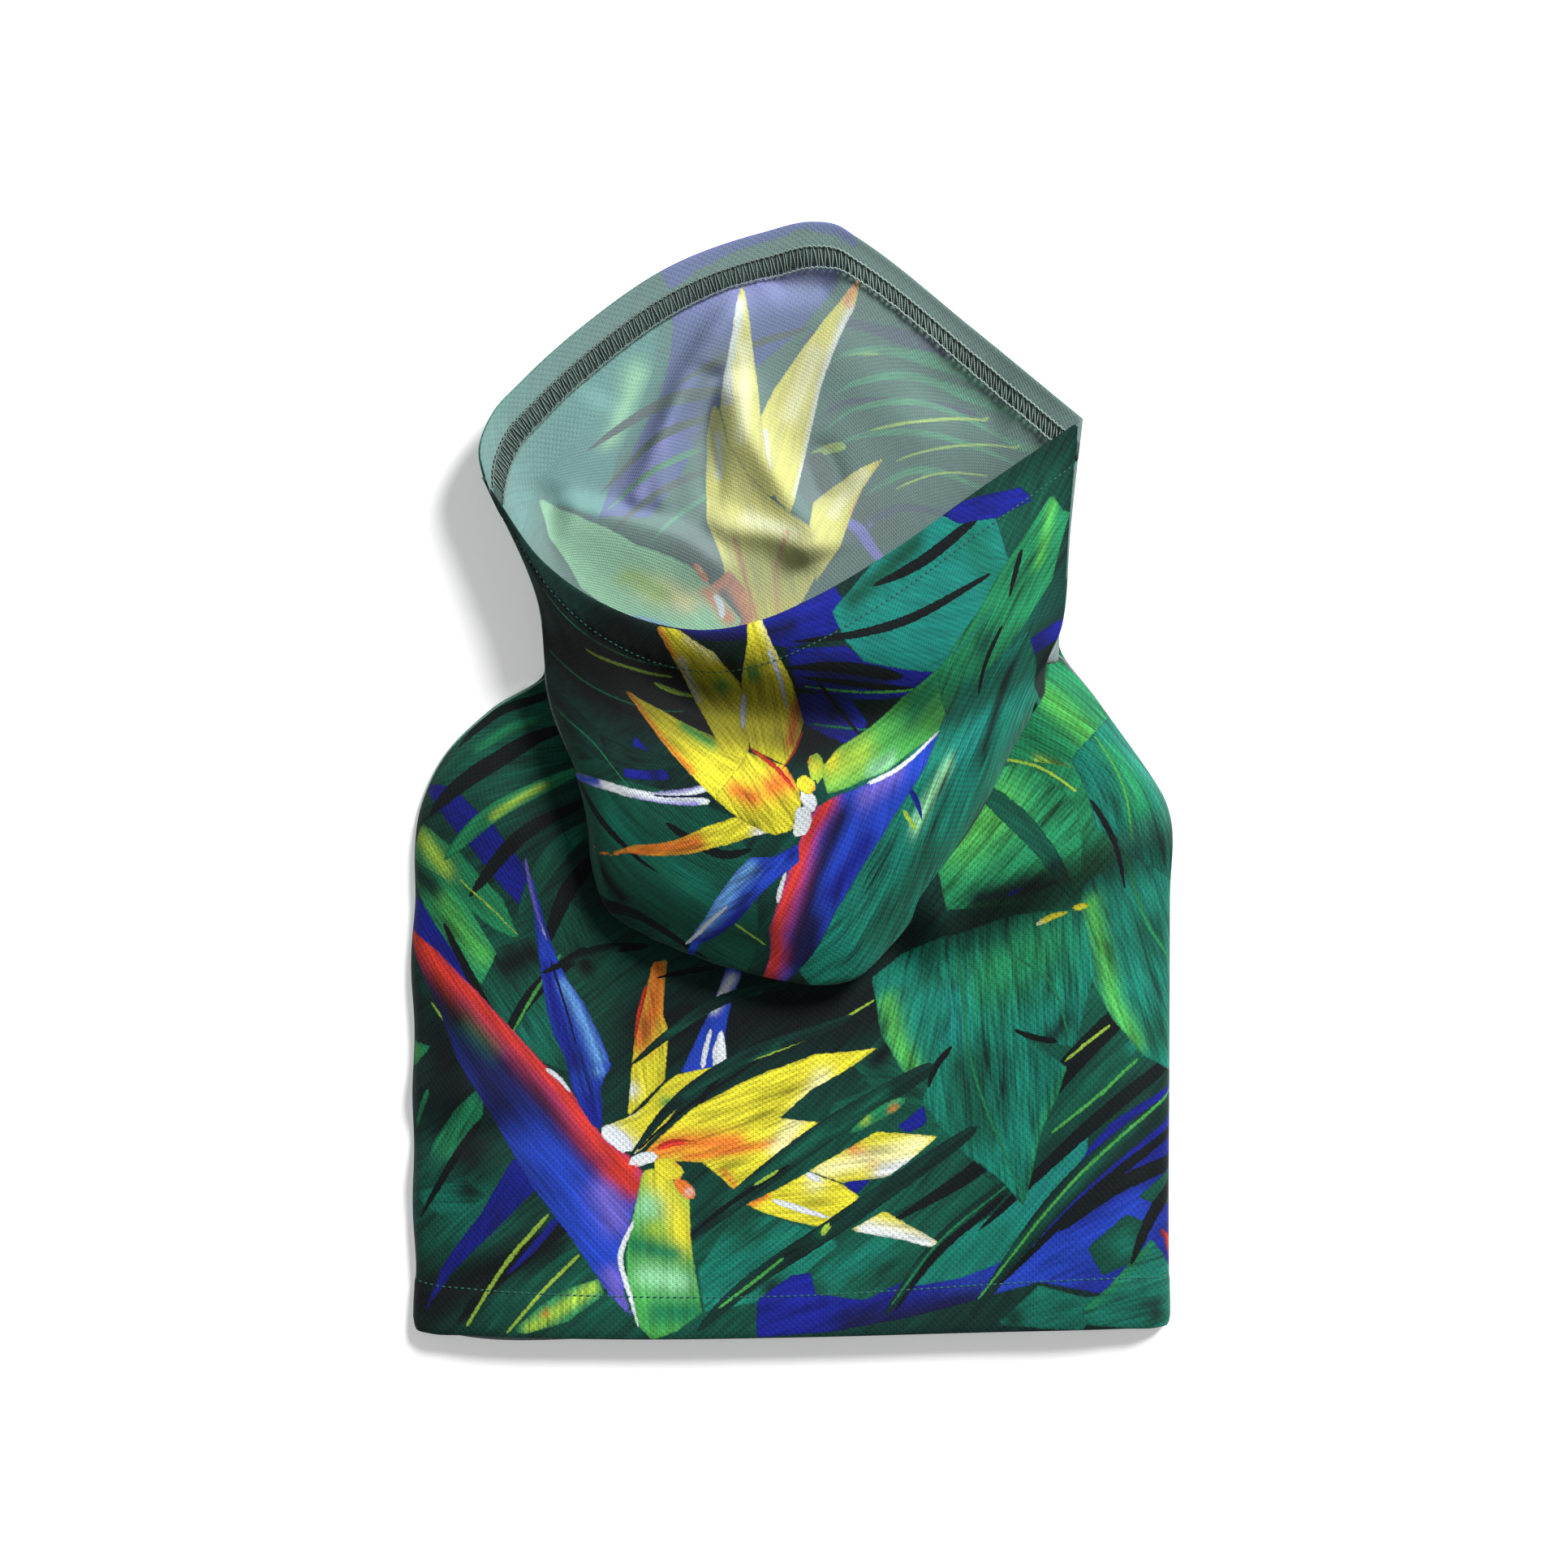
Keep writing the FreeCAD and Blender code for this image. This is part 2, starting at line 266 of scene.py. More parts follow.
def line_fields(x, y, line):
    """Distance to a line of points, the side of it (left is 1, right is -1) and the share along it."""
    line = np.asarray(line, float)
    lengths, runs = measured(line)
    best = np.full(x.shape, 1e9)
    side = np.zeros(x.shape)
    share = np.zeros(x.shape)
    for i, (a, b) in enumerate(zip(line, line[1:])):
        d = b - a
        t = ((x - a[0]) * d[0] + (y - a[1]) * d[1]) / lengths[i] ** 2
        t_in = np.clip(t, 0, 1)
        gap_x = x - a[0] - t_in * d[0]
        gap_y = y - a[1] - t_in * d[1]
        gap = np.hypot(gap_x, gap_y)
        nearer = gap < best
        best = np.where(nearer, gap, best)
        turn = np.sign(d[0] * (y - a[1]) - d[1] * (x - a[0]))
        side = np.where(nearer, turn, side)
        share = np.where(nearer, (runs[i] + t_in * lengths[i]) / runs[-1], share)
    return best, side, share


def fold(x, y, line, height, left, right, fade=(0.12, 0.12), sharp=2.0):
    """The rise of one ridge, or valley if height is negative, with its own width on either side."""
    line = smooth_line(line)
    gap, side, share = line_fields(x, y, line)
    width = np.where(side > 0, left, right)
    ends = np.ones(x.shape)
    if fade[0] > 0:
        ends *= smooth(share / fade[0])
    if fade[1] > 0:
        ends *= smooth((1 - share) / fade[1])
    return height * ends * np.exp(-((gap / width) ** sharp))


def smooth_line(points, count=24):
    """A smooth line through a few places in plan."""
    if len(points) < 3:
        return np.asarray(points, float)
    flat = [(px, py, 0.0) for px, py in points]
    return across(flat, np.linspace(0, 1, count))[:, :2]


def smooth(t):
    """A smooth step from 0 to 1."""
    t = np.clip(t, 0, 1)
    return t * t * (3 - 2 * t)


# A fold: its line in plan, height, width left and right of its direction, fades at its ends, sharpness
SKIRT_FOLDS = [
    ([(34, -58), (48, -43), (68, -32), (94, -19), (124, -3)], 11.0, 17, 9, (0.2, 0.0), 2.0),
    ([(20, -78), (58, -58), (90, -42), (122, -24)], -2.8, 9, 14, (0.3, 0.0), 2.0),
    ([(-122, -100), (-104, -102), (-78, -96)], 1.6, 7, 7, (0.0, 0.6), 2.0),
    ([(-122, -128), (-100, -124), (-70, -128)], 1.4, 7, 8, (0.0, 0.6), 2.0),
    ([(-122, -114), (-96, -114), (-74, -112)], -1.2, 6, 6, (0.0, 0.6), 2.0),
    ([(-108, 2), (-84, -20), (-62, -60)], 1.5, 12, 12, (0.2, 0.3), 2.0),
    ([(122, -70), (104, -84), (80, -104)], 1.2, 12, 14, (0.1, 0.4), 2.0),
    ([(-122, -160), (-60, -160), (0, -161), (60, -159), (122, -158)], -0.5, 5, 5, (0.05, 0.05), 2.0),
]
RIM_FOLDS = [
    ([(-78, 72), (-50, 55), (-30, 49), (-12, 49), (8, 58), (30, 74)], 6.5, 14, 11, (0.25, 0.35), 2.0),
]
COWL_FOLDS = [
    ([(80, 48), (66, 36), (52, 26), (36, 20), (12, 18), (-14, 20), (-40, 28), (-62, 42)],
        -14.0, 11, 13, (0.5, 0.3), 2.0),
    ([(86, 32), (64, 14), (38, 3), (8, -4), (-26, -4), (-48, 4)], 4.5, 10, 9, (0.1, 0.4), 2.0),
    ([(80, 20), (56, -8), (30, -36)], 2.6, 9, 12, (0.1, 0.3), 2.0),
    ([(90, 84), (66, 70), (40, 52), (12, 36), (-14, 32)], 2.4, 9, 9, (0.1, 0.3), 2.0),
    ([(88, 100), (60, 80), (30, 62)], 0.9, 4, 4, (0.1, 0.4), 2.0),
    ([(-80, 52), (-66, 30), (-46, 6), (-30, -14)], -1.6, 9, 9, (0.2, 0.4), 2.0),
    ([(-60, -24), (-40, -36), (-14, -44), (8, -48)], 1.2, 8, 7, (0.3, 0.3), 2.0),
]
INSIDE_FOLDS = [
    ([(-14, 160), (-28, 134), (-44, 106), (-52, 84)], 4.6, 5, 4.2, (0.15, 0.1), 1.7),
    ([(-19, 156), (-36, 126), (-42, 104), (-42, 84)], 2.6, 3.4, 4.0, (0.2, 0.1), 1.7),
    ([(-24, 136), (-27, 118), (-26, 100), (-24, 82)], -3.2, 4.5, 5.5, (0.12, 0.3), 2.0),
    ([(-19, 134), (-14, 112), (-4, 96), (2, 86), (6, 82), (10, 70)], 5.0, 6.0, 7.5, (0.15, 0.1), 1.6),
    ([(-30, 84), (-18, 81), (-6, 79), (4, 74), (9, 66)], 3.2, 5, 5, (0.2, 0.2), 1.8),
    ([(9, 104), (12, 96)], -2.6, 6, 6, (0.0, 0.0), 2.0),
    ([(-2, 160), (10, 160)], -3.0, 6, 5, (0.0, 0.0), 2.0),
    ([(-78, 90), (-64, 86), (-52, 83), (-34, 77), (-18, 64)], 6.0, 4.0, 16, (0.15, 0.2), 1.8),
    ([(-60, 126), (-72, 104), (-78, 90)], 1.6, 7, 7, (0.2, 0.2), 2.0),
    ([(34, 134), (54, 122), (74, 118)], -1.6, 10, 10, (0.3, 0.2), 2.0),
    ([(4, 150), (26, 128), (52, 104)], 1.5, 11, 11, (0.2, 0.2), 2.0),
]


# Soft shade painted into the print's colours along the folds: its line in plan, depth (a painted light if
# negative), widths, fades, sharpness
SKIRT_SHADES = [
    ([(42, -60), (58, -47), (84, -33), (108, -24), (128, -17)], 0.60, 5, 13, (0.25, 0.0), 2.0),
    ([(96, -184), (124, -150), (124, -96)], 0.30, 26, 26, (0.0, 0.3), 2.0),
    ([(-118, -6), (-92, -16), (-74, -52), (-62, -84), (-50, -84)], 0.34, 24, 24, (0.0, 0.0), 2.0),
    ([(-112, -178), (-84, -136), (-66, -128)], 0.28, 24, 24, (0.0, 0.2), 2.0),
]
COWL_SHADES = [
    ([(90, 46), (70, 32), (48, 20), (22, 13)], 0.60, 5, 11, (0.15, 0.35), 2.6),
    ([(32, 16), (4, 15), (-24, 19), (-52, 30), (-74, 52)], 0.79, 11, 24, (0.25, 0.1), 2.8),
    ([(-84, 62), (-74, 36), (-66, 8)], 0.35, 9, 9, (0.1, 0.4), 2.0),
]
INSIDE_SHADES = [
    ([(-18, 142), (-26, 132), (-28, 115), (-29, 95)], 0.62, 3.6, 3.6, (0.15, 0.2), 2.0),
    ([(8, 110), (12, 97), (4, 88)], 0.46, 5, 5, (0.1, 0.3), 2.0),
    ([(-8, 168), (10, 160)], 0.40, 7, 6, (0.2, 0.2), 2.0),
    ([(-40, 78), (-4, 66), (20, 72)], 0.36, 12, 12, (0.2, 0.3), 2.0),
    ([(-84, 104), (-60, 100), (-46, 112)], 0.16, 16, 16, (0.0, 0.2), 2.0),
    ([(16, 136), (40, 118), (66, 116)], -0.26, 15, 15, (0.1, 0.1), 2.0),
]


def painted_shade_of(surface, shades):
    """Painted shade along the folds, and painted light where a depth is negative: how much of its colour the
    cloth keeps at each place.
    """
    x, y = surface[..., 0], surface[..., 1]
    painted_shading = np.ones(x.shape)
    for stroke_of_shade in shades:
        painted_shading *= 1 - fold(x, y, *stroke_of_shade)
    return painted_shading


def raised(surface, folds, where):
    """The surface with folds added straight up, where a mask lets them."""
    x, y = surface[..., 0], surface[..., 1]
    rise = sum(fold(x, y, *f) for f in folds)
    lifted = surface.copy()
    lifted[..., 2] += rise * where
    return lifted


# -------- sizes and colours

def length_setting(name, about, value):
    """A size setting in metres."""
    return FloatProperty(name=name, description=about, default=value, unit="LENGTH")


class GaiterSizes(PropertyGroup):
    """Sizes of the flat gaiter, before it is laid down."""

    width: length_setting("Width", "Flat width of the tube", 0.245)
    length: length_setting("Length", "From hem edge to hem edge", 0.400)
    hem: length_setting("Hem", "Depth of the turned hems", 0.015)
    cloth: length_setting("Cloth", "Thickness of the knit", 0.0005)
    columns: IntProperty(name="Columns", description="Faces across a panel", default=164)
    rows: IntProperty(name="Rows", description="Faces up a panel between its hem edges", default=270)
    stitch: length_setting("Stitch", "Length of one stitch", 0.0021)
    loop_pitch: length_setting("Loop pitch", "From one overlock loop to the next", 0.0023)
    thread: length_setting("Thread", "Thickness of the sewing thread", 0.00042)


def gamma_colour(name, about, value):
    """A colour setting given as it looks on screen."""
    return FloatVectorProperty(
        name=name, description=about, default=value, size=3, min=0, max=1, subtype="COLOR_GAMMA"
    )


class GaiterColours(PropertyGroup):
    """Inks of the print, the pale side of the knit and the threads."""

    ink: gamma_colour("Ink", "Darkest strokes between the leaves", (0.008, 0.055, 0.065))
    pine: gamma_colour("Pine", "Dark green ground", (0.012, 0.165, 0.145))
    fern: gamma_colour("Fern", "Green of the fronds", (0.03, 0.31, 0.24))
    teal: gamma_colour("Teal", "Blue green of the large leaves", (0.055, 0.45, 0.375))
    lagoon: gamma_colour("Lagoon", "Light blue green areas", (0.075, 0.50, 0.455))
    leaf: gamma_colour("Leaf", "Mid green of the lit leaves", (0.11, 0.50, 0.32))
    grass: gamma_colour("Grass", "Bright green of the sheaths", (0.29, 0.66, 0.30))
    lime: gamma_colour("Lime", "Yellow green veins and dashes", (0.62, 0.78, 0.26))
    mint: gamma_colour("Mint", "Pale green of the inner sheath", (0.56, 0.83, 0.62))
    royal: gamma_colour("Royal", "Deep blue between the leaves", (0.06, 0.11, 0.53))
    navy: gamma_colour("Navy", "Darkest blue of the stems", (0.05, 0.07, 0.27))
    blue: gamma_colour("Blue", "Blue of the tongues and stems", (0.12, 0.26, 0.73))
    sky: gamma_colour("Sky", "Light blue on the tongues", (0.42, 0.66, 0.92))
    violet: gamma_colour("Violet", "Violet shading of the stems", (0.42, 0.38, 0.78))
    red: gamma_colour("Red", "Red edge of the stems", (0.84, 0.22, 0.15))
    orange: gamma_colour("Orange", "Orange of the petals", (0.90, 0.48, 0.17))
    yellow: gamma_colour("Yellow", "Yellow of the petals", (0.88, 0.85, 0.20))
    cream: gamma_colour("Cream", "Pale yellow of the petals", (0.97, 0.95, 0.66))
    white: gamma_colour("White", "White edges of the petals", (0.90, 0.93, 0.95))
    pale: gamma_colour("Pale side", "Unprinted side of the knit", (0.66, 0.73, 0.735))
    overlock: gamma_colour("Overlock thread", "Thread of the overlocked edges", (0.58, 0.66, 0.63))
    stitching: gamma_colour("Stitching thread", "Thread of the hem stitches", (0.16, 0.38, 0.35))


# -------- the print, in plan on the lying cloth, mm

def patch(ink, outline, washes=(), streaks=0.5, grain=None):
    """A painted area in an outline. A wash is an ink, its half width and the places it runs through."""
    return {
        "kind": "patch", "ink": ink, "points": outline, "washes": washes,
        "streaks": streaks, "grain": grain,
    }


def stroke(ink, spine, half_width, washes=(), streaks=0.5, shape=(0.35, 0.6)):
    """A painted stroke on a spine; shape holds how fast it fattens from its start and thins to its tip."""
    return {
        "kind": "stroke", "ink": ink, "points": spine, "half_width": half_width,
        "washes": washes, "streaks": streaks, "shape": shape,
    }


def dark(spine, half_width):
    """A dark stroke between leaves."""
    return stroke("ink", spine, half_width)


def vein(ink, spine, half_width=0.35):
    """A thin even line."""
    return stroke(ink, spine, half_width, streaks=0.2, shape=(0.12, 0.2))


SKIRT_GROUND = ("pine", [
    ("fern", 26, [(-112, -150), (-60, -160)]),
    ("fern", 22, [(-60, -72), (-92, -60)]),
    ("fern", 30, [(-20, -160), (40, -120), (100, -60)]),
    ("teal", 14, [(-104, -136), (-96, -150)]),
    ("fern", 26, [(-100, 5), (-80, 20)]),
    ("leaf", 30, [(100, 0), (90, 20)]),
    ("ink", 15, [(-45, -80), (-10, -76), (30, -70)]),
    ("ink", 11, [(-112, -86), (-104, -120)]),
    ("ink", 10, [(-118, -168), (-80, -150)]),
])

SKIRT_PRINT = [
    # left shoulder and chest
    patch("royal", [(-118, -1), (-108, -3), (-96, -14), (-87, -26), (-82, -40), (-88, -40), (-103, -22)]),
    patch("leaf", [(-119, -14), (-106, -24), (-93, -38), (-87, -52), (-96, -48), (-112, -34), (-122, -24)],
        [("lime", 3, [(-120, -18), (-112, -28)])]),
    patch("royal", [(-123, -34), (-118.7, -40), (-109.7, -53), (-101, -67.5), (-113, -60), (-123, -50)]),
    patch("leaf", [(-123, -24), (-112, -32), (-103, -42), (-94, -57), (-100, -67), (-109.7, -54),
        (-118, -42)], [("grass", 4, [(-112, -40), (-100, -56)]), ("pine", 4, [(-116, -34), (-122, -28)])],
        0.8),
    patch("fern", [(-94, -54), (-82, -50), (-75, -72), (-70, -95), (-82.7, -90), (-93, -78), (-100, -67.5)],
        [("teal", 8, [(-84, -80)]), ("ink", 5, [(-92, -60), (-84, -56)])], 0.9),
    patch("fern", [(-76, -34), (-68, -42), (-62, -56), (-64, -68), (-70, -60), (-78, -50)],
        [("ink", 4, [(-66, -60)])], 0.8),
    dark([(-70, 18), (-92, 8), (-117, -12)], 3.2),
    stroke("fern", [(-72, 24), (-94, 15), (-116, -2)], 2.6, [("leaf", 2, [(-84, 19), (-100, 10)])]),
    dark([(-76, 30), (-94, 22), (-108, 10)], 2.0),
    stroke("leaf", [(-66, 4), (-88, -6), (-112, -26)], 2.8, [("lime", 1.2, [(-80, -2), (-96, -12)])]),
    dark([(-64, -6), (-84, -16), (-104, -38)], 2.2),
    stroke("fern", [(-64, -14), (-76, -24), (-88, -44)], 3.2, [("teal", 3, [(-70, -20)])]),
    dark([(-62, -24), (-72, -36), (-80, -56)], 2.4),
    dark([(-112, -46), (-103, -64), (-84, -98)], 1.6),
    dark([(-66, -54), (-84, -70), (-96, -92)], 2.0),
    vein("lime", [(-107, -32), (-97, -41), (-88, -50)]),
    vein("lime", [(-116, -72), (-110, -80)], 0.5),
    vein("grass", [(-74, -56), (-82, -68), (-90, -82)], 0.5),
    # lower left
    patch("royal", [(-89, -121), (-82, -132), (-96, -146), (-110, -160), (-119.5, -174), (-113, -158),
        (-100, -140)]),
    patch("fern", [(-99, -98), (-99, -108), (-110, -124), (-119, -130), (-116, -118), (-108, -106)],
        [("leaf", 4, [(-112, -118), (-103, -106)])], 0.9),
    patch("leaf", [(-123.5, -82), (-116, -86), (-121, -92), (-124, -94)], [("grass", 2, [(-121, -88)])]),
    patch("teal", [(-121, -133), (-106, -128), (-98, -134), (-108, -142), (-118, -138)],
        [("pine", 4, [(-104, -132)])], 0.7),
    dark([(-70, -142), (-92, -158), (-108, -176)], 2.6),
    stroke("royal", [(-73, -139), (-84, -152), (-92, -160)], 1.2),
    dark([(-100, -110), (-112, -128), (-120, -142)], 1.2),
    stroke("fern", [(-66, -150), (-84, -164), (-98, -178)], 2.4),
    vein("lime", [(-78, -140), (-91, -155), (-105, -177)], 0.7),
    vein("lime", [(-68, -153), (-80, -165), (-92, -179)], 0.6),
    vein("leaf", [(-117, -100), (-121, -112)], 0.8),
    patch("leaf", [(-72, -164), (-62, -161), (-60, -166), (-72, -175), (-86, -179), (-90, -178),
        (-80, -169)], [("lime", 2.2, [(-64, -164), (-76, -172), (-84, -177)]),
        ("orange", 1.0, [(-79, -172)])], 0.9),
    # centre bottom
    patch("teal", [(-28, -172), (-30, -158), (-22, -146), (-8, -140), (10, -146), (16, -150), (4, -160),
        (-8, -168)], [("fern", 7, [(-14, -146)]), ("pine", 4, [(-6, -164)])], 0.7),
    patch("royal", [(123.5, -94), (123.5, -170), (100, -166), (80, -162), (40, -173), (14, -178),
        (-11, -180), (-11, -168), (0, -160), (12, -158), (40, -152), (67.5, -146), (84, -132), (104, -110)],
        [("blue", 9, [(60, -164), (100, -150), (112, -140)]), ("navy", 6, [(20, -176), (60, -168)])]),
    patch("fern", [(8, -166), (6, -158), (20, -146), (44, -134), (60, -126), (70, -132), (54, -150),
        (40, -160), (24, -168)], [("teal", 5, [(14, -160), (30, -150)])], 0.7),
    patch("lagoon", [(96, -112.5), (95.5, -120), (89.5, -130), (80.5, -143), (67.5, -156), (54.5, -161),
        (36, -164), (50, -149), (68.5, -138), (80.5, -124)], [("teal", 8, [(50, -158), (66, -148)])], 0.4),
    # fronds up to the right
    patch("fern", [(52, -102), (34, -96), (14, -104), (10, -112), (30, -108), (44, -100)],
        [("teal", 5, [(34, -100)])], 0.7),
    patch("fern", [(20, -92), (44, -66), (54, -78), (60, -100), (46, -112), (30, -104)],
        [("ink", 4, [(40, -76), (28, -90)])], 0.8),
    dark([(122, -60), (90, -92), (64, -122), (32, -143)], 3.4),
    stroke("fern", [(124, -72), (98, -98), (70, -126)], 3.6, [("teal", 2, [(110, -86)])]),
    dark([(124, -84), (96, -112), (60, -146)], 2.2),
    stroke("pine", [(72, -129), (48, -150), (30, -173)], 2.9, [("fern", 1.5, [(60, -140), (40, -160)])]),
    dark([(69, -134), (46, -154), (33, -172)], 1.3),
    stroke("pine", [(124, -97), (86, -136), (57, -174)], 3.6, [("fern", 1.6, [(110, -112), (70, -154)])]),
    dark([(124, -106), (92, -138), (66, -164)], 1.5),
    dark([(124, -118), (104, -132), (86, -146)], 2.3),
    vein("grass", [(112, -90), (99, -102), (84, -114)], 0.55),
    vein("grass", [(123, -97), (86, -135), (60, -168)], 0.5),
    vein("leaf", [(72, -129), (48, -149), (32, -170)], 0.4),
    vein("lime", [(103, -79), (88, -91)], 0.5),
    vein("lime", [(27, -71), (8, -82), (-18, -92)], 0.5),
    # right side leaves
    patch("fern", [(111.5, -135), (123.5, -119), (123.5, -136)]),
    patch("fern", [(95.5, -151), (108.5, -140), (114.5, -143), (112.5, -155), (100.5, -160)],
        [("teal", 4, [(108, -150)])]),
    patch("teal", [(66, -176), (80, -163), (95, -167), (102, -166), (94, -178)],
        [("pine", 4, [(72, -174)])]),
    patch("teal", [(93.5, -171), (102, -164), (116.5, -148), (123.5, -160), (123.5, -177), (95.5, -176)],
        [("leaf", 1.6, [(96, -170), (104, -163), (115, -150)]), ("pine", 3, [(118, -172)])], 0.8),
    patch("red", [(117.5, -143), (120.5, -149), (124, -168), (124, -150)], [("navy", 2.5, [(118, -146),
        (123, -162)])]),
    dark([(124, -122), (117, -140), (109.5, -157)], 2.0),
    patch("teal", [(94.5, -34), (109, -22), (124, -20), (124, -95), (113.5, -89), (103.5, -77), (96.5, -64),
        (91.5, -50)], [("grass", 3.0, [(97, -40), (104, -72), (112, -85)]), ("fern", 9, [(116, -50)]),
        ("fern", 6, [(118, -82)])], 0.9, ((100, -30), (118, -90))),
    vein("leaf", [(108, -24), (114, -44), (124, -64)], 0.7),
    patch("teal", [(26, -64), (36, -56), (50, -50), (54, -76), (46, -92), (40, -96), (36, -94), (29, -82),
        (27.5, -72)], [("grass", 3.2, [(31, -72), (34, -84), (39, -93)]), ("fern", 5, [(46, -62)])],
        0.9, ((50, -56), (40, -94))),
    patch("teal", [(46, -52), (70, -44), (94, -42), (98, -62), (91.5, -86.5), (84, -85), (71.5, -80.5),
        (89, -92.5), (86.5, -101), (80.5, -114), (77.5, -128), (75, -138), (68.5, -130), (56.5, -121),
        (49.5, -114), (42.5, -104), (46.5, -88), (51, -76)], [("leaf", 12, [(80, -54), (66, -62)]),
        ("fern", 8, [(56, -92), (60, -112)]), ("lagoon", 5, [(52, -80), (52, -72)]),
        ("leaf", 1.5, [(89, -93), (81, -112), (76, -136)]), ("pine", 3, [(88, -78), (84, -84)])],
        1.0, ((66, -48), (72, -134))),
    vein("leaf", [(54, -54), (58, -90), (75, -136)], 0.4),
    vein("leaf", [(70, -56), (84, -66), (90, -84)], 0.35),
    dark([(86, -84.5), (78, -83), (71.5, -80.5)], 0.9),
    dark([(52, -86), (47, -92), (44, -100)], 1.2),
    # right shoulder
    patch("leaf", [(56, 16), (72, 30), (88, 42), (104, 22), (114, 4), (96, 2), (72, 6)],
        [("grass", 6, [(84, 26), (98, 12)]), ("lime", 1.6, [(80, 6), (92, 0)])], 0.9, ((70, 30), (110, 0))),
    patch("teal", [(90, 6), (104, 22), (123, -6), (124, -34), (108, -24), (98, -16)],
        [("leaf", 5, [(104, 8), (112, -8)])], 0.9, ((100, 16), (122, -30))),
    patch("leaf", [(44, -16), (58, 0), (74, 6), (92, -8), (94, -30), (72, -40), (50, -42)],
        [("grass", 9, [(66, -10), (56, -18)]), ("pine", 4, [(60, -38), (84, -34)])], 1.0, ((50, -40),
        (88, 0))),
    stroke("fern", [(60, -2), (76, -16), (92, -40)], 3.0, [("pine", 2, [(84, -28)])]),
    vein("lime", [(66, 7), (80, 4), (92, -4)], 0.5),
    vein("grass", [(98, 14), (106, 0), (110, -20)], 0.5),
    dark([(96, -6), (104, -20), (108, -36)], 1.0),
    stroke("royal", [(69, -37.5), (75, -34.5)], 0.8),
    stroke("yellow", [(79, -46.8), (84, -44.4), (89.5, -42.6)], 1.0, [("white", 1.5, [(79, -47)])], 0.1),
    stroke("yellow", [(91.4, -41.4), (95.6, -40.6)], 1.0, (), 0.1, (0.1, 0.1)),
    # the flower
    patch("blue", [(-20.7, -60), (-15.7, -62), (-19.7, -74), (-21.2, -82), (-20.7, -92), (-35.7, -95),
        (-30.7, -84), (-25.7, -74), (-22.7, -66)], [("white", 1.6, [(-19, -64), (-25, -74)])], 0.3),
    stroke("white", [(-28.5, -93), (-27.5, -87), (-25.5, -80)], 0.9, (), 0.1, (0.1, 0.3)),
    patch("white", [(-22, -80), (-21, -86), (-20.5, -92.5), (-25, -93), (-25.5, -88), (-23.5, -82)]),
    dark([(10, -74), (-20, -92), (-34, -112)], 1.2),
    patch("yellow", [(-44.7, -59), (-39.7, -58), (-40.7, -66), (-41.2, -76), (-39.7, -80), (-39.7, -86),
        (-40.7, -97), (-52.7, -109), (-51.7, -96), (-50.7, -86), (-48.7, -76), (-46.7, -68)],
        [("orange", 4.5, [(-43, -60), (-44, -74), (-49, -84)]), ("white", 2.5, [(-52, -100)])], 0.7),
    stroke("red", [(-46.5, -66), (-49, -76), (-50.5, -84)], 0.7),
    patch("yellow", [(-52.7, -109), (-48, -106), (-40.7, -98), (-36.7, -95), (-27, -93), (-18.7, -91.5),
        (-26.7, -98), (-36, -105), (-41.7, -113), (-50, -121), (-58, -115), (-61, -112)],
        [("white", 3.6, [(-60, -113), (-53, -119)]), ("white", 2, [(-52, -106)]),
        ("grass", 2, [(-40, -104)])], 0.4),
    patch("yellow", [(-49, -122), (-42, -115), (-31.7, -106), (-16.7, -98), (-7.5, -94), (7.5, -88.5),
        (28, -86.5), (20.5, -92), (6.5, -100), (-3.5, -109), (9.5, -110.5), (0.5, -118), (-5.5, -123),
        (-13.5, -129), (-18.5, -132.5), (-23, -128), (-28.7, -123.5), (-34.7, -123), (-44.7, -123.5)],
        [("orange", 4.0, [(-44, -120), (-34, -117), (-18, -117)]), ("orange", 1.6, [(-34, -122),
        (-16, -119), (0, -116)]), ("cream", 3, [(-4, -119), (10, -96)]), ("orange", 1.0, [(-22, -126),
        (-18, -131)])], 0.7, ((-45, -120), (20, -94))),
    stroke("red", [(-43, -119), (-38, -117), (-30, -117)], 1.2, [("orange", 2, [(-32, -117)])], 0.8),
    patch("royal", [(34, -112), (43, -105), (44, -111), (38, -114)]),
    patch("yellow", [(5.5, -126), (27.5, -113.5), (47.5, -115), (39.5, -122), (31.5, -128), (16.5, -130)],
        [("white", 3.5, [(38, -124), (30, -126)]), ("orange", 2, [(20, -119), (26, -123)]),
        ("cream", 3, [(10, -126), (42, -117)])], 0.6),
    patch("royal", [(16, -129.5), (26, -129), (21, -134)]),
    patch("yellow", [(-14.5, -137), (-2.5, -131), (5.5, -126.5), (15.5, -130), (22.5, -134.5),
        (10.5, -144.5), (-1.5, -142), (-10.5, -139)], [("orange", 1.5, [(-13, -137), (-8, -134)]),
        ("cream", 3, [(8, -130)])], 0.6),
    stroke("white", [(-6, -135.5), (3, -138.5), (13, -141.5)], 1.1, (), 0.1),
    stroke("white", [(5, -127), (10, -129.5)], 1.2, (), 0.1),
    patch("yellow", [(18.5, -145.5), (30, -139), (40.5, -145), (47.5, -149), (45.5, -151), (33.5, -148)],
        [("white", 3.2, [(24, -145), (33, -147), (44, -150)])]),
    stroke("pine", [(46, -92), (12, -113), (-36, -150)], 4.0, [("fern", 2.5, [(30, -102), (0, -121),
        (-20, -136)])], 0.9, (0.3, 0.5)),
    dark([(0, -124), (-20, -137), (-36, -150)], 0.9),
    stroke("leaf", [(37, -103), (28, -108), (19, -114)], 2.2, [("orange", 1.2, [(33, -106)]),
        ("lime", 1.5, [(24, -110)])]),
    vein("lime", [(-4, -126), (-12, -131)], 0.6),
    stroke("pine", [(60, -112), (20, -140), (-20, -168), (-30, -178)], 3.2, [("fern", 2, [(10, -146)])],
        0.9, (0.3, 0.4)),
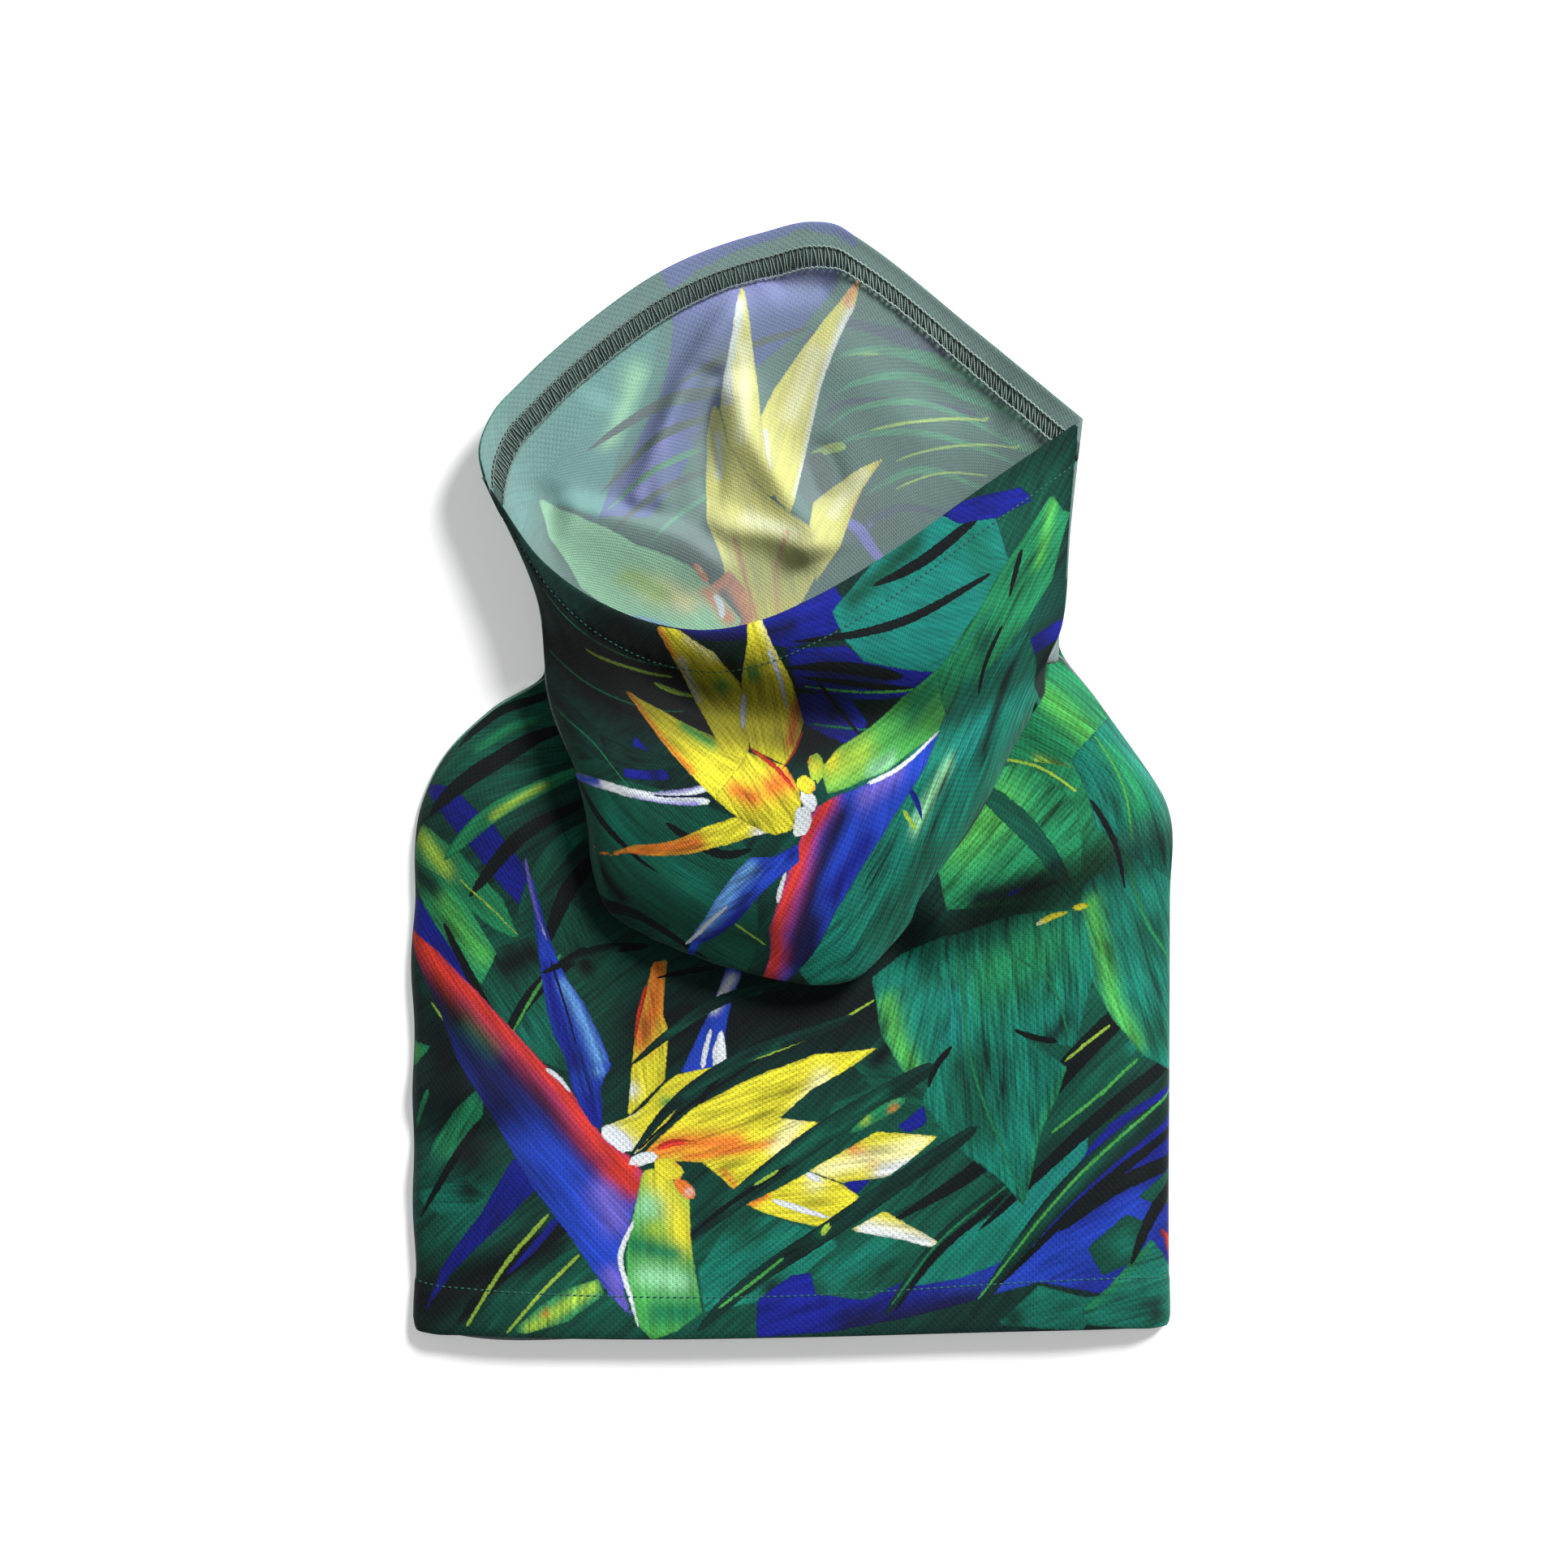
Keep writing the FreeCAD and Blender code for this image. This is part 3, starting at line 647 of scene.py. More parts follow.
    vein("grass", [(-2, -154), (-12, -162), (-24, -171)], 0.55),
    vein("lime", [(12.5, -143), (10, -147)], 1.1),
    # knobs, stem and sheath
    patch("blue", [(-123, -46), (-113.7, -55.5), (-101.7, -67.5), (-88.7, -81.5), (-76.7, -94.5),
        (-70.7, -100.5), (-61.7, -113.5), (-51.7, -121.5), (-47, -127), (-49.7, -136), (-52.7, -146),
        (-54.7, -152), (-53.7, -166), (-50.2, -175), (-58.7, -166), (-70.7, -148), (-82.7, -132),
        (-89.7, -120), (-97.7, -106), (-107.7, -90), (-113.7, -74), (-121, -58)],
        [("navy", 12, [(-120, -56), (-104, -84), (-94, -104)]), ("fern", 4.5, [(-104, -78), (-96, -86)]),
        ("ink", 4, [(-114, -64), (-108, -76)]), ("navy", 5, [(-90, -92), (-76, -108), (-62, -124),
        (-54, -132)]), ("violet", 5, [(-60, -134), (-56, -142)]), ("violet", 3, [(-58, -160), (-53, -170)]),
        ("red", 4.8, [(-121, -51), (-102, -70), (-86, -87), (-73, -101), (-62, -117), (-52, -125)]),
        ("red", 4.2, [(-56, -126), (-50, -131)])], 0.5, ((-120, -55), (-52, -150))),
    stroke("white", [(-79, -93), (-74, -97), (-71, -101)], 0.9, (), 0.1),
    patch("grass", [(-47.7, -126), (-41.7, -125), (-36.7, -130), (-32.7, -135), (-32.2, -149),
        (-30.7, -159), (-28.5, -172), (-36.7, -178), (-44.7, -181), (-50.2, -175), (-52.7, -166),
        (-53.2, -153), (-51.7, -144), (-49.7, -135)], [("yellow", 6, [(-43, -128), (-37, -140),
        (-34, -148)]), ("mint", 5, [(-46, -138)]), ("leaf", 3.5, [(-50, -150), (-38, -153)]),
        ("mint", 4.5, [(-46, -160), (-36, -162)]), ("leaf", 5, [(-42, -172), (-32, -172)]),
        ("lime", 3, [(-44, -145)])], 0.4, ((-42, -128), (-40, -178))),
    stroke("white", [(-50.5, -142), (-55, -154), (-52, -166), (-49, -177)], 0.9, (), 0.1),
    patch("blue", [(-86, -23), (-83.2, -32), (-79.7, -44), (-78, -50), (-74.7, -59), (-72.2, -64),
        (-66.7, -72), (-61.7, -82), (-57.7, -92.5), (-60.2, -96), (-61.2, -100), (-60.7, -112),
        (-63.2, -112.5), (-67.7, -106), (-70.7, -99), (-72.7, -90), (-76.7, -82), (-78.7, -74),
        (-80.7, -61), (-82, -51), (-83.2, -39)], [("sky", 2.0, [(-73, -66), (-66, -80), (-62, -90)]),
        ("royal", 2.2, [(-79, -60), (-74, -80), (-70, -92)]), ("royal", 4, [(-65, -104), (-63, -110)]),
        ("sky", 1.8, [(-62, -94)])], 0.8, ((-86, -23), (-62, -108))),
    stroke("violet", [(-85.5, -25), (-82, -42), (-78.5, -52)], 0.7, [("white", 1.5, [(-80, -50)])], 0.2),
    vein("navy", [(-77.5, -58), (-73, -72), (-69, -86)], 0.4),
    stroke("ink", [(-46, -53.5), (-62, -55), (-80.7, -62.5)], 1.6, [("fern", 0.8, [(-56, -55),
        (-70, -59)])]),
    dark([(-24, -60.5), (-34, -62), (-43.7, -64)], 0.9),
    stroke("pine", [(4, -64), (-22, -71), (-38, -81), (-52, -92.5)], 1.9, [("fern", 0.8, [(-10, -69),
        (-40, -82)])], 0.8),
    stroke("pine", [(20, -76), (-12, -88), (-36, -103), (-52, -121.5)], 2.3, [("fern", 1.0, [(-4, -86),
        (-34, -102)])], 0.8),
    vein("ink", [(-10, -90), (-34, -106), (-50, -120)], 0.5),
    stroke("white", [(-61, -112.5), (-55, -116.5), (-52, -120)], 3.0, (), 0.1, (0.3, 0.3)),
    stroke("white", [(-52, -124), (-47, -122), (-43, -121.5)], 2.1, [("orange", 0.9, [(-50, -125)])],
        0.1, (0.3, 0.3)),
    stroke("yellow", [(-43.5, -123.5), (-39, -126), (-35, -129.5)], 3.4, [("orange", 1.0, [(-36, -124)])],
        0.2, (0.3, 0.3)),
    stroke("orange", [(-37, -129.5), (-34, -132), (-31.5, -135)], 2.3, [("white", 1.0, [(-32.6, -133)])],
        0.2, (0.3, 0.3)),
]

COWL_GROUND = ("pine", [
    ("fern", 22, [(-60, -12), (-30, -46)]),
    ("teal", 30, [(60, 30), (30, -20)]),
    ("ink", 16, [(-70, 40), (-40, 32), (-10, 20)]),
    ("ink", 12, [(10, 16), (30, 22)]),
    ("fern", 14, [(80, 90), (60, 76)]),
])

COWL_PRINT = [
    patch("fern", [(-72, 10), (-52, 0), (-34, -4), (-18, -12), (-10, -30), (-14, -62), (-50, -52),
        (-66, -30)], [("teal", 8, [(-56, -14), (-30, -34)]), ("ink", 4, [(-60, -30), (-46, -46)])],
        0.6, ((-70, 0), (-20, -50))),
    patch("royal", [(-54, 1), (-50, 14), (-44, 8), (-38, 0)], [("navy", 3, [(-44, 2)])]),
    stroke("ink", [(-88, 76), (-64, 44), (-22, 34)], 5.5, [("pine", 2, [(-70, 52), (-40, 38)])], 0.8),
    stroke("ink", [(-84, 50), (-62, 30), (-22, 20)], 5.0, [("pine", 2, [(-66, 34), (-40, 26)])], 0.8),
    stroke("pine", [(-80, 30), (-62, 12), (-34, 6)], 5.0, [("ink", 2, [(-60, 12)])], 0.8),
    dark([(-76, 16), (-60, -14), (-42, -30)], 2.2),
    dark([(-66, -24), (-48, -44), (-26, -58)], 2.0),
    dark([(-40, -14), (-20, -24), (-12, -22)], 1.8),
    vein("leaf", [(-80, 62), (-62, 44), (-36, 36)], 0.4),
    vein("lime", [(-66, 42), (-52, 36), (-38, 33)], 0.6),
    vein("leaf", [(-78, 42), (-60, 28), (-34, 22)], 0.4),
    stroke("lime", [(-44, 31), (-38, 28.5), (-30, 26.5)], 1.0, [("leaf", 1, [(-34, 27)])]),
    vein("leaf", [(-76, 24), (-60, 8), (-50, -4)], 0.4),
    vein("leaf", [(-52.5, -18.8), (-38, -31), (-25.6, -41), (-8, -53)], 0.45),
    vein("lime", [(-18, -46), (-8, -53)], 0.6),
    patch("royal", [(-40, 50), (-20, 50), (0, 55), (14, 62), (20, 52), (12, 46), (-1, 42), (-12, 45),
        (-30, 45)], [("navy", 2.5, [(-36, 47), (0, 49)])]),
    patch("royal", [(-2, 42), (17.6, 43), (23.4, 38.5), (47, 36), (40, 27), (16, 26), (2, 30)],
        [("navy", 3, [(10, 36), (30, 32)])], 0.6),
    patch("royal", [(2, 28), (18, 27.5), (25, 18), (18, 11), (4, 18)], [("navy", 4, [(14, 22)])], 0.6),
    patch("lagoon", [(13, 54), (30, 74), (52, 90), (66, 84), (74, 60), (66, 44), (47, 34.5), (35, 35.5),
        (23.4, 37.8), (17.6, 44)], [("teal", 6, [(56, 80), (70, 60)]), ("fern", 4, [(20, 58), (40, 76)])],
        0.3),
    dark([(64, 66), (34, 50), (0, 44)], 1.6),
    dark([(36, 33), (16, 36), (-2, 36)], 1.8),
    dark([(40, 29), (18, 31), (2, 33)], 1.0),
    dark([(60, 84), (42, 70), (26, 62)], 2.2),
    vein("grass", [(46, 30), (26, 28), (4, 30)], 0.4),
    vein("leaf", [(26, 16), (14, 17), (6, 18)], 0.4),
    dark([(8, 32), (16, 22), (24, 12)], 0.7),
    patch("royal", [(46, 86), (60, 91), (74, 94), (78, 90), (66, 84), (54, 82)], [("navy", 2, [(50, 86)])]),
    patch("royal", [(72, 43), (88, 52), (89, 46), (76, 39)]),
    patch("grass", [(9.4, 3.4), (15.2, 10.4), (24.6, 16.2), (36.2, 26.7), (47, 35.5), (56, 46), (60, 54),
        (56, 36), (50, 22), (47, 15), (38.6, 9.2), (30.4, 2.6), (23.4, 0), (17.6, -2.8), (11.7, -4.6)],
        [("lime", 6, [(14, 4), (22, 8)]), ("leaf", 7, [(40, 24), (50, 36)]), ("yellow", 3, [(13, 6)]),
        ("mint", 2.5, [(32, 6), (26, 3)])], 0.5, ((10, 0), (52, 36))),
    patch("leaf", [(47, 35), (60, 54), (72, 74), (84, 92), (90, 86), (84, 64), (74, 48), (62, 34), (50, 20),
        (48, 26)], [("grass", 3, [(84, 88), (80, 70)]), ("fern", 6, [(62, 44)]), ("teal", 5, [(56, 28)])],
        0.9, ((50, 24), (84, 86))),
    patch("teal", [(50, 14), (62, 34), (76, 48), (82, 34), (74, 14), (62, -8), (46, -32), (34, -52),
        (18, -68), (2, -68), (14, -42), (23.4, -27), (33, -12), (43, 4)], [("lagoon", 6, [(54, 8),
        (60, 16)]), ("fern", 8, [(44, -24), (30, -46)]), ("mint", 3, [(50, 4), (40, -14)]),
        ("pine", 4, [(70, 34), (62, 10)])], 1.0, ((66, 40), (14, -60))),
    dark([(68, 50), (62, 36), (60, 26)], 1.4),
    dark([(74, 74), (72, 66), (70, 58)], 1.6),
    stroke("royal", [(38, -3), (41, -9), (42, -13)], 1.1),
    vein("lime", [(36, -10), (40, -16)], 0.8),
    vein("lagoon", [(44, 36), (56, 44), (66, 56)], 0.5),
    patch("blue", [(48, 16.5), (43.2, 4.5), (32.7, -11.8), (23.4, -27), (14.1, -42.2), (2.4, -68),
        (-13, -68), (-7, -48), (-3.4, -37.5), (0, -27), (4, -16.5), (7.4, -9), (14.1, -5.2), (24.6, -1.2),
        (38.6, 7.5)], [("violet", 4, [(34, 3), (24, -5)]), ("navy", 5, [(4, -62), (6, -46)]),
        ("royal", 4, [(14, -36), (24, -20)]), ("navy", 3.4, [(16, -12), (8, -30), (0, -58)]),
        ("red", 3.6, [(12, -7), (6, -16), (1, -32), (-5, -48), (-10, -66)])], 0.5, ((30, 4), (-6, -66))),
    vein("white", [(24.5, -1.2), (34, 3.4), (47.6, 15.6)], 0.8),
    stroke("white", [(-4.4, -39.8), (-3, -34), (-1.2, -28)], 0.8, (), 0.1),
    patch("blue", [(-37.3, -56.8), (-31.5, -49.2), (-24.5, -38.7), (-17.5, -29.3), (-12.8, -24.7),
        (-5.8, -24.7), (2.4, -20.4), (3, -25.8), (-5.8, -32.8), (-11.6, -38.7), (-17.5, -45.7),
        (-29.1, -52.7)], [("sky", 2.6, [(-30, -48), (-18, -33), (-13, -28)]), ("royal", 2, [(-28, -52),
        (-14, -41)]), ("royal", 3, [(0, -23)])], 0.8, ((-37, -57), (0, -22))),
    stroke("white", [(-34, -53), (-27, -46.5), (-20, -40)], 0.6, (), 0.1),
    stroke("white", [(-71.7, 3.1), (-58, -2.2), (-45, -5.4), (-26, -6.8)], 1.5, [("blue", 2.5, [(-71, 3),
        (-62, 0)]), ("violet", 1.2, [(-50, -6.5), (-30, -8)])], 0.4, (0.6, 0.2)),
    stroke("white", [(-46, -4.4), (-36, -4.4), (-25, -2)], 1.2, [("violet", 1.0, [(-44, -3.5), (-30, -2)])],
        0.4, (0.5, 0.2)),
    vein("navy", [(-44, -5), (-34, -5.4), (-25, -4.8)], 0.35),
    patch("yellow", [(-64.5, -19.2), (-50.1, -20.8), (-37.3, -19.4), (-26.8, -14.7), (-17.5, -11.8),
        (-5.8, -16.5), (-12.8, -18.2), (-24.5, -21.7), (-38.5, -24.3), (-52, -23.4)],
        [("orange", 3.5, [(-64, -20), (-44, -22), (-30, -20)]), ("white", 2.4, [(-10, -17.4)])],
        0.6, ((-64, -20), (-6, -15))),
    patch("yellow", [(-54.2, 29.9), (-40.8, 22), (-24.5, 13.9), (-12.8, 6.9), (-17.5, -11.8), (-24.5, -6),
        (-31.5, 1), (-40.8, 11.5)], [("orange", 1.6, [(-52, 28), (-42, 14), (-32, 3)]),
        ("grass", 2.5, [(-34, 17), (-26, 12)])], 0.6, ((-54, 30), (-14, -2))),
    patch("yellow", [(-43.6, 49.5), (-36.1, 48.1), (-24.5, 40.7), (-16.3, 30.8), (-12.8, 16.2), (-14, 6),
        (-22, 9), (-24.5, 13.9), (-30.3, 24.4), (-36.1, 36)], [("cream", 1.5, [(-33, 45), (-24, 39)]),
        ("white", 1.0, [(-35, 38), (-30, 26)]), ("orange", 1.4, [(-42, 48), (-38, 40)]),
        ("grass", 3, [(-22, 30)])], 0.6, ((-42, 48), (-16, 12))),
    patch("yellow", [(-14, 53), (-10.5, 54), (-5.8, 43), (0, 32.5), (4.1, 18.5), (1.2, 9.2), (-1.7, 4.5),
        (-12.8, 10), (-16.3, 19.7), (-15.7, 33.7), (-13.9, 44.2)], [("orange", 2.2, [(2, 24), (0, 12)]),
        ("cream", 1.4, [(-9, 50), (-4, 40)]), ("grass", 3, [(-12, 34)])], 0.6, ((-12, 52), (-4, 8))),
    patch("yellow", [(-24.5, -6), (-14, 9), (-1.7, 4.5), (2.4, -2.5), (3.6, -7.1), (0, -16.5),
        (-5.8, -17.7), (-17.5, -11.8)], [("orange", 4.5, [(0, 1), (-6, -2)]), ("orange", 3, [(-18, -3),
        (-12, -6)]), ("yellow", 2, [(-8, -12)])], 0.9, ((-14, 10), (0, -10))),
    stroke("red", [(-13, 10), (-6, 5), (2, -4)], 0.8, [("orange", 1.0, [(-10, 8)])], 0.5),
    stroke("red", [(4, 16), (1, 9), (-3, 3)], 0.4, (), 0.2),
    stroke("white", [(-7.5, 42), (-4, 34), (-1.2, 22)], 1.0, (), 0.2),
    stroke("white", [(-15, 28), (-15.4, 22), (-15.2, 15.5)], 1.2, (), 0.2),
    stroke("white", [(2.6, -9), (4, -13), (1.5, -18)], 3.0, [("cream", 1.5, [(0, -16)])], 0.1, (0.3, 0.3)),
    stroke("white", [(3.5, -4), (6, -7), (7.5, -10)], 2.2, (), 0.1, (0.3, 0.3)),
    stroke("lime", [(6.4, 8), (8, 4.5), (8.6, -1)], 2.8, [("orange", 1.2, [(5.4, 6)]),
        ("yellow", 2, [(8, 4)])], 0.2, (0.3, 0.3)),
    stroke("yellow", [(2.2, 0), (5, -1.8), (7.4, -3.4)], 2.4, [("orange", 1.0, [(7, -4)])],
        0.2, (0.3, 0.3)),
]

INSIDE_GROUND = ("fern", [
    ("lagoon", 30, [(-84, 108), (-58, 120)]),
    ("fern", 30, [(60, 110), (30, 130)]),
    ("pine", 14, [(10, 78), (28, 84)]),
    ("pine", 10, [(-26, 66), (-32, 78)]),
])

INSIDE_PRINT = [
    patch("royal", [(-44, 172), (-20, 178), (4, 184), (22, 180), (14, 158), (4, 146), (-10, 134),
        (-26, 118), (-36, 98), (-46, 84), (-66, 84), (-52, 104), (-42, 124), (-38, 146)],
        [("violet", 9, [(-30, 160), (0, 164)]), ("violet", 7, [(-42, 110), (-50, 92)]),
        ("navy", 3, [(-30, 110)])], 0.3),
    patch("lagoon", [(-62, 84), (-56, 104), (-48, 122), (-42, 146), (-46, 156), (-60, 146), (-76, 122),
        (-84, 100), (-76, 88)], [("mint", 5, [(-50, 130), (-58, 110)])], 0.2),
    stroke("royal", [(-80, 132), (-85, 122), (-90, 109)], 2.4),
    stroke("ink", [(-22, 126), (-44, 120), (-66, 106)], 3.2, [("fern", 1.6, [(-36, 122)])], 0.8),
    stroke("ink", [(-24, 118), (-40, 112), (-62, 92)], 2.4, [("fern", 1.4, [(-36, 112)])], 0.8),
    stroke("leaf", [(-26, 108), (-44, 100), (-60, 86)], 2.0, (), 0.8),
    dark([(-28, 100), (-44, 92), (-60, 78)], 2.2),
    stroke("leaf", [(-24, 94), (-38, 84), (-46, 76)], 1.6, [("lime", 1.0, [(-34, 84)])], 0.8),
    dark([(6, 146), (-14, 140), (-38, 126)], 1.8),
    stroke("navy", [(70, 130), (40, 142), (2, 140)], 2.6, [("fern", 1.4, [(40, 141)])], 0.8),
    stroke("leaf", [(76, 122), (44, 136), (12, 134)], 2.4, [("lime", 1.0, [(20, 136), (28, 137)])], 0.9),
    stroke("leaf", [(84, 112), (52, 126), (14, 124)], 2.2, [("lime", 1.6, [(26, 125), (42, 124)])], 0.9),
    stroke("navy", [(60, 118), (36, 122), (8, 116)], 1.8),
    stroke("leaf", [(88, 104), (54, 118), (10, 112)], 1.8, (), 0.9),
    vein("lime", [(64, 117), (44, 116), (24, 112)], 0.7),
    stroke("leaf", [(80, 98), (52, 110), (10, 104)], 1.8, [("lime", 2, [(8, 108), (16, 106)])], 0.9),
    vein("lime", [(74, 108), (56, 108), (34, 103)], 0.6),
    stroke("leaf", [(70, 90), (46, 100), (24, 92)], 2.0, (), 0.9),
    vein("lime", [(64, 98), (48, 99), (34, 94)], 0.6),
    stroke("navy", [(56, 84), (36, 88), (20, 78)], 2.0, [("violet", 1.2, [(26, 82)])]),
    stroke("lime", [(18, 108), (12, 107), (5, 104)], 2.4, [("yellow", 1.4, [(13, 108)])], 0.4),
    patch("violet", [(10, 88), (20, 80), (28, 70), (34, 66), (24, 82)], [("royal", 3, [(20, 78)])]),
    patch("pine", [(3, 105), (10, 106), (14, 100), (12, 90), (6, 86), (2, 94)], (), 0.3),
    patch("yellow", [(23.8, 165), (18.5, 158), (8.3, 145.2), (0.7, 135), (-5.6, 126.2), (-10, 117.3),
        (-9, 98), (-4, 90), (0.1, 86), (3.9, 102.1), (6.4, 112.2), (9.6, 126.2), (14.7, 140.1), (21, 154)],
        [("cream", 4, [(8, 138), (0, 118)]), ("white", 1.6, [(20, 152), (10, 128), (2, 92)]),
        ("orange", 1.4, [(22, 162), (18, 154)]), ("white", 1.6, [(-9, 112), (-8, 100)])], 0.5, ((22, 162),
        (-4, 90))),
    patch("yellow", [(-15.7, 162), (-18.9, 147.7), (-21.4, 132.5), (-22.6, 119.8), (-20.2, 109),
        (-14.5, 99.8), (-6.9, 91.5), (-4, 92), (-8, 104), (-10, 117.3), (-12.6, 141.4)],
        [("cream", 3, [(-15, 140), (-16, 110)]), ("white", 1.8, [(-17, 154), (-20.5, 134), (-20, 122)])],
        0.5, ((-15.7, 161), (-8, 94))),
    patch("yellow", [(-22.6, 119), (-25, 122), (-27.2, 111), (-27.6, 96), (-27.2, 84), (-22, 69),
        (-20.8, 62), (-16, 50), (-4, 50), (4, 58), (8.3, 66), (9, 74), (5.8, 82), (0.1, 86), (-6.9, 91.5),
        (-14.5, 99.8), (-20.2, 109)], [("cream", 4, [(-14, 84), (0, 80)]), ("orange", 3, [(-22, 64),
        (-14, 56)]), ("orange", 0.9, [(-11, 52), (-15, 66), (-18, 78)]), ("orange", 0.8, [(-4, 54),
        (-5, 68), (-1, 80)]), ("white", 1.2, [(-23, 112), (-23, 98)])], 0.6, ((-24, 118), (-4, 52))),
    patch("yellow", [(30.8, 104.4), (23.5, 94.5), (15.9, 75.5), (8.3, 64), (5.8, 82), (7, 89.4),
        (17.2, 97)], [("cream", 3, [(24, 99), (14, 86)]), ("orange", 1.0, [(29, 101), (20, 86)])],
        0.4, ((30, 104), (8, 68))),
    patch("orange", [(-26, 63), (-20, 68), (-15, 62), (-12, 52), (-14, 49), (-20, 48)],
        [("pine", 3.4, [(-22, 60), (-17, 52)]), ("yellow", 2.0, [(-13, 58)])], 0.8, ((-22, 50), (-14, 68))),
    patch("mint", [(-82, 91), (-74, 87), (-65.2, 83.5), (-50, 76), (-32.2, 69), (-24, 61), (-15.7, 51.4),
        (-22, 44), (-42, 46), (-54, 50), (-68, 62), (-78, 78)], [("cream", 7, [(-44, 62), (-34, 58)]),
        ("orange", 3.4, [(-27, 61), (-20, 52)]), ("sky", 2.5, [(-50, 52), (-40, 49)]),
        ("lime", 6, [(-52, 66), (-42, 60)])], 0.3, ((-80, 88), (-22, 52))),
    stroke("white", [(-25, 60), (-23, 57), (-22, 52)], 1.8, [("orange", 1, [(-26, 58)])], 0.1, (0.3, 0.3)),
    stroke("orange", [(-31, 70), (-29, 67), (-27, 64)], 1.6, [("cream", 1, [(-29, 68)])], 0.1, (0.3, 0.3)),
]

OUTSIDE_LAYER = -50.0  # the edge value of a layer where it has no shape
NEAR = 1.6  # mm around a shape where its own fields hold
PRINT_LAYERS = 20
FAR_STEP = 14.0  # mm: as far as a place off the visible cloth is carried on
MASK_EDGE = (-0.14, 0.16)  # mm: where a shape's edge fades in
DRAWN_EDGE = (0.1, 0.7)  # mm: the darker line that a shape's edge is drawn with


class Chart:
    """Turns places in plan on one visible part of the cloth into places on the flat cloth, mm."""

    def __init__(self, surface, u, t, shown, mirrored=False):
        self.shown = shown
        self.sign = -1 if mirrored else 1
        self.u, self.t = np.meshgrid(u, t)
        self.x, self.y = surface[..., 0], surface[..., 1]
        self.x_t, self.x_u = np.gradient(self.x, t, u)
        self.y_t, self.y_u = np.gradient(self.y, t, u)

    def flat(self, points):
        """Places on the flat cloth of places in plan; one off the edge carries on straight."""
        places = []
        for x, y in points:
            x = x * self.sign
            gap = np.where(self.shown, (self.x - x) ** 2 + (self.y - y) ** 2, 1e9)
            k = np.unravel_index(gap.argmin(), gap.shape)
            ways = np.array([[self.x_u[k], self.x_t[k]], [self.y_u[k], self.y_t[k]]])
            step = np.linalg.solve(ways + np.eye(2) * 1e-6, (x - self.x[k], y - self.y[k]))
            length = np.hypot(*step)
            step *= FAR_STEP / length if length > FAR_STEP else 1.0
            places.append((self.u[k] + step[0], self.t[k] + step[1]))
        return np.array(places)


def gap_to_line(u, t, line):
    """Distance from each place to a line of places, or to a single place."""
    if len(line) == 1:
        return np.hypot(u - line[0][0], t - line[0][1])
    return line_fields(u, t, line)[0]


def spine_fields(u, t, line):
    """Along, across and past the ends of a spine, in mm."""
    lengths, runs = measured(line)
    best = np.full(u.shape, 1e9)
    along = np.zeros(u.shape)
    aside = np.zeros(u.shape)
    past = np.zeros(u.shape)
    last = len(lengths) - 1
    for i, (a, b) in enumerate(zip(line, line[1:])):
        d = (b - a) / lengths[i]
        run = (u - a[0]) * d[0] + (t - a[1]) * d[1]
        run_in = np.clip(run, 0, lengths[i])
        gap = np.hypot(u - a[0] - run_in * d[0], t - a[1] - run_in * d[1])
        cross = d[0] * (t - a[1]) - d[1] * (u - a[0])
        over = np.zeros(u.shape)
        if i == 0:
            over = np.maximum(over, -run)
        if i == last:
            over = np.maximum(over, run - lengths[i])
        nearer = gap < best
        best = np.where(nearer, gap, best)
        along = np.where(nearer, runs[i] + run_in, along)
        aside = np.where(nearer, np.where(over > 0, cross, np.sign(cross) * gap), aside)
        past = np.where(nearer, over, past)
    return along, aside, past, runs[-1]


def inside_outline(u, t, line):
    """Signed distance to a closed outline, positive inside."""
    closed = np.concatenate([line, line[:1]])
    gap = line_fields(u, t, closed)[0]
    inside = np.zeros(u.shape, bool)
    for (ua, ta), (ub, tb) in zip(closed, closed[1:]):
        crosses = (ta > t) != (tb > t)
        at = (ub - ua) * (t - ta) / (tb - ta if tb != ta else 1e-9) + ua
        inside ^= crosses & (u < at)
    return np.where(inside, gap, -gap)


def linear(colour):
    """A screen colour as light."""
    c = np.asarray(colour, float)
    return np.where(c <= 0.04045, c / 12.92, ((c + 0.055) / 1.055) ** 2.4)


def washed(base, u, t, washes, chart, inks):
    """The base colour with soft washes of other inks over it."""
    colour = np.broadcast_to(linear(inks[base]), (*u.shape, 3)).copy()
    for ink, half_width, points in washes:
        gap = gap_to_line(u, t, chart.flat(points))
        share = np.exp(-((gap / half_width) ** 2))[..., None]
        colour += (linear(inks[ink]) - colour) * share
    return colour


def shape_fields(shape, u, t, chart):
    """Along, across and half width of one shape, which is where half width exceeds the size of across."""
    line = chart.flat(shape["points"])
    if shape["kind"] == "stroke":
        if len(line) > 2:
            line = across([(a, b, 0.0) for a, b in line], np.linspace(0, 1, 18))[:, :2]
        along, aside, past, length = spine_fields(u, t, line)
        share = np.clip(along / length, 0, 1)
        start, tip = shape["shape"]
        peak = (start / (start + tip)) ** start * (tip / (start + tip)) ** tip
        width = shape["half_width"] * (share + 1e-4) ** start * (1 - share + 1e-4) ** tip / peak
        return along, aside, width - past
    grain = shape["grain"] or (shape["points"][0], shape["points"][len(line) // 2])
    start, end = chart.flat(grain)
    way = (end - start) / max(np.hypot(*(end - start)), 1e-6)
    edge = inside_outline(u, t, line)
    along = (u - start[0]) * way[0] + (t - start[1]) * way[1]
    aside = (t - start[1]) * way[0] - (u - start[0]) * way[1]
    aside = aside - aside[edge > -4 * NEAR].min() + 3.0 if (edge > -4 * NEAR).any() else aside
    return along, aside, edge + np.abs(aside)


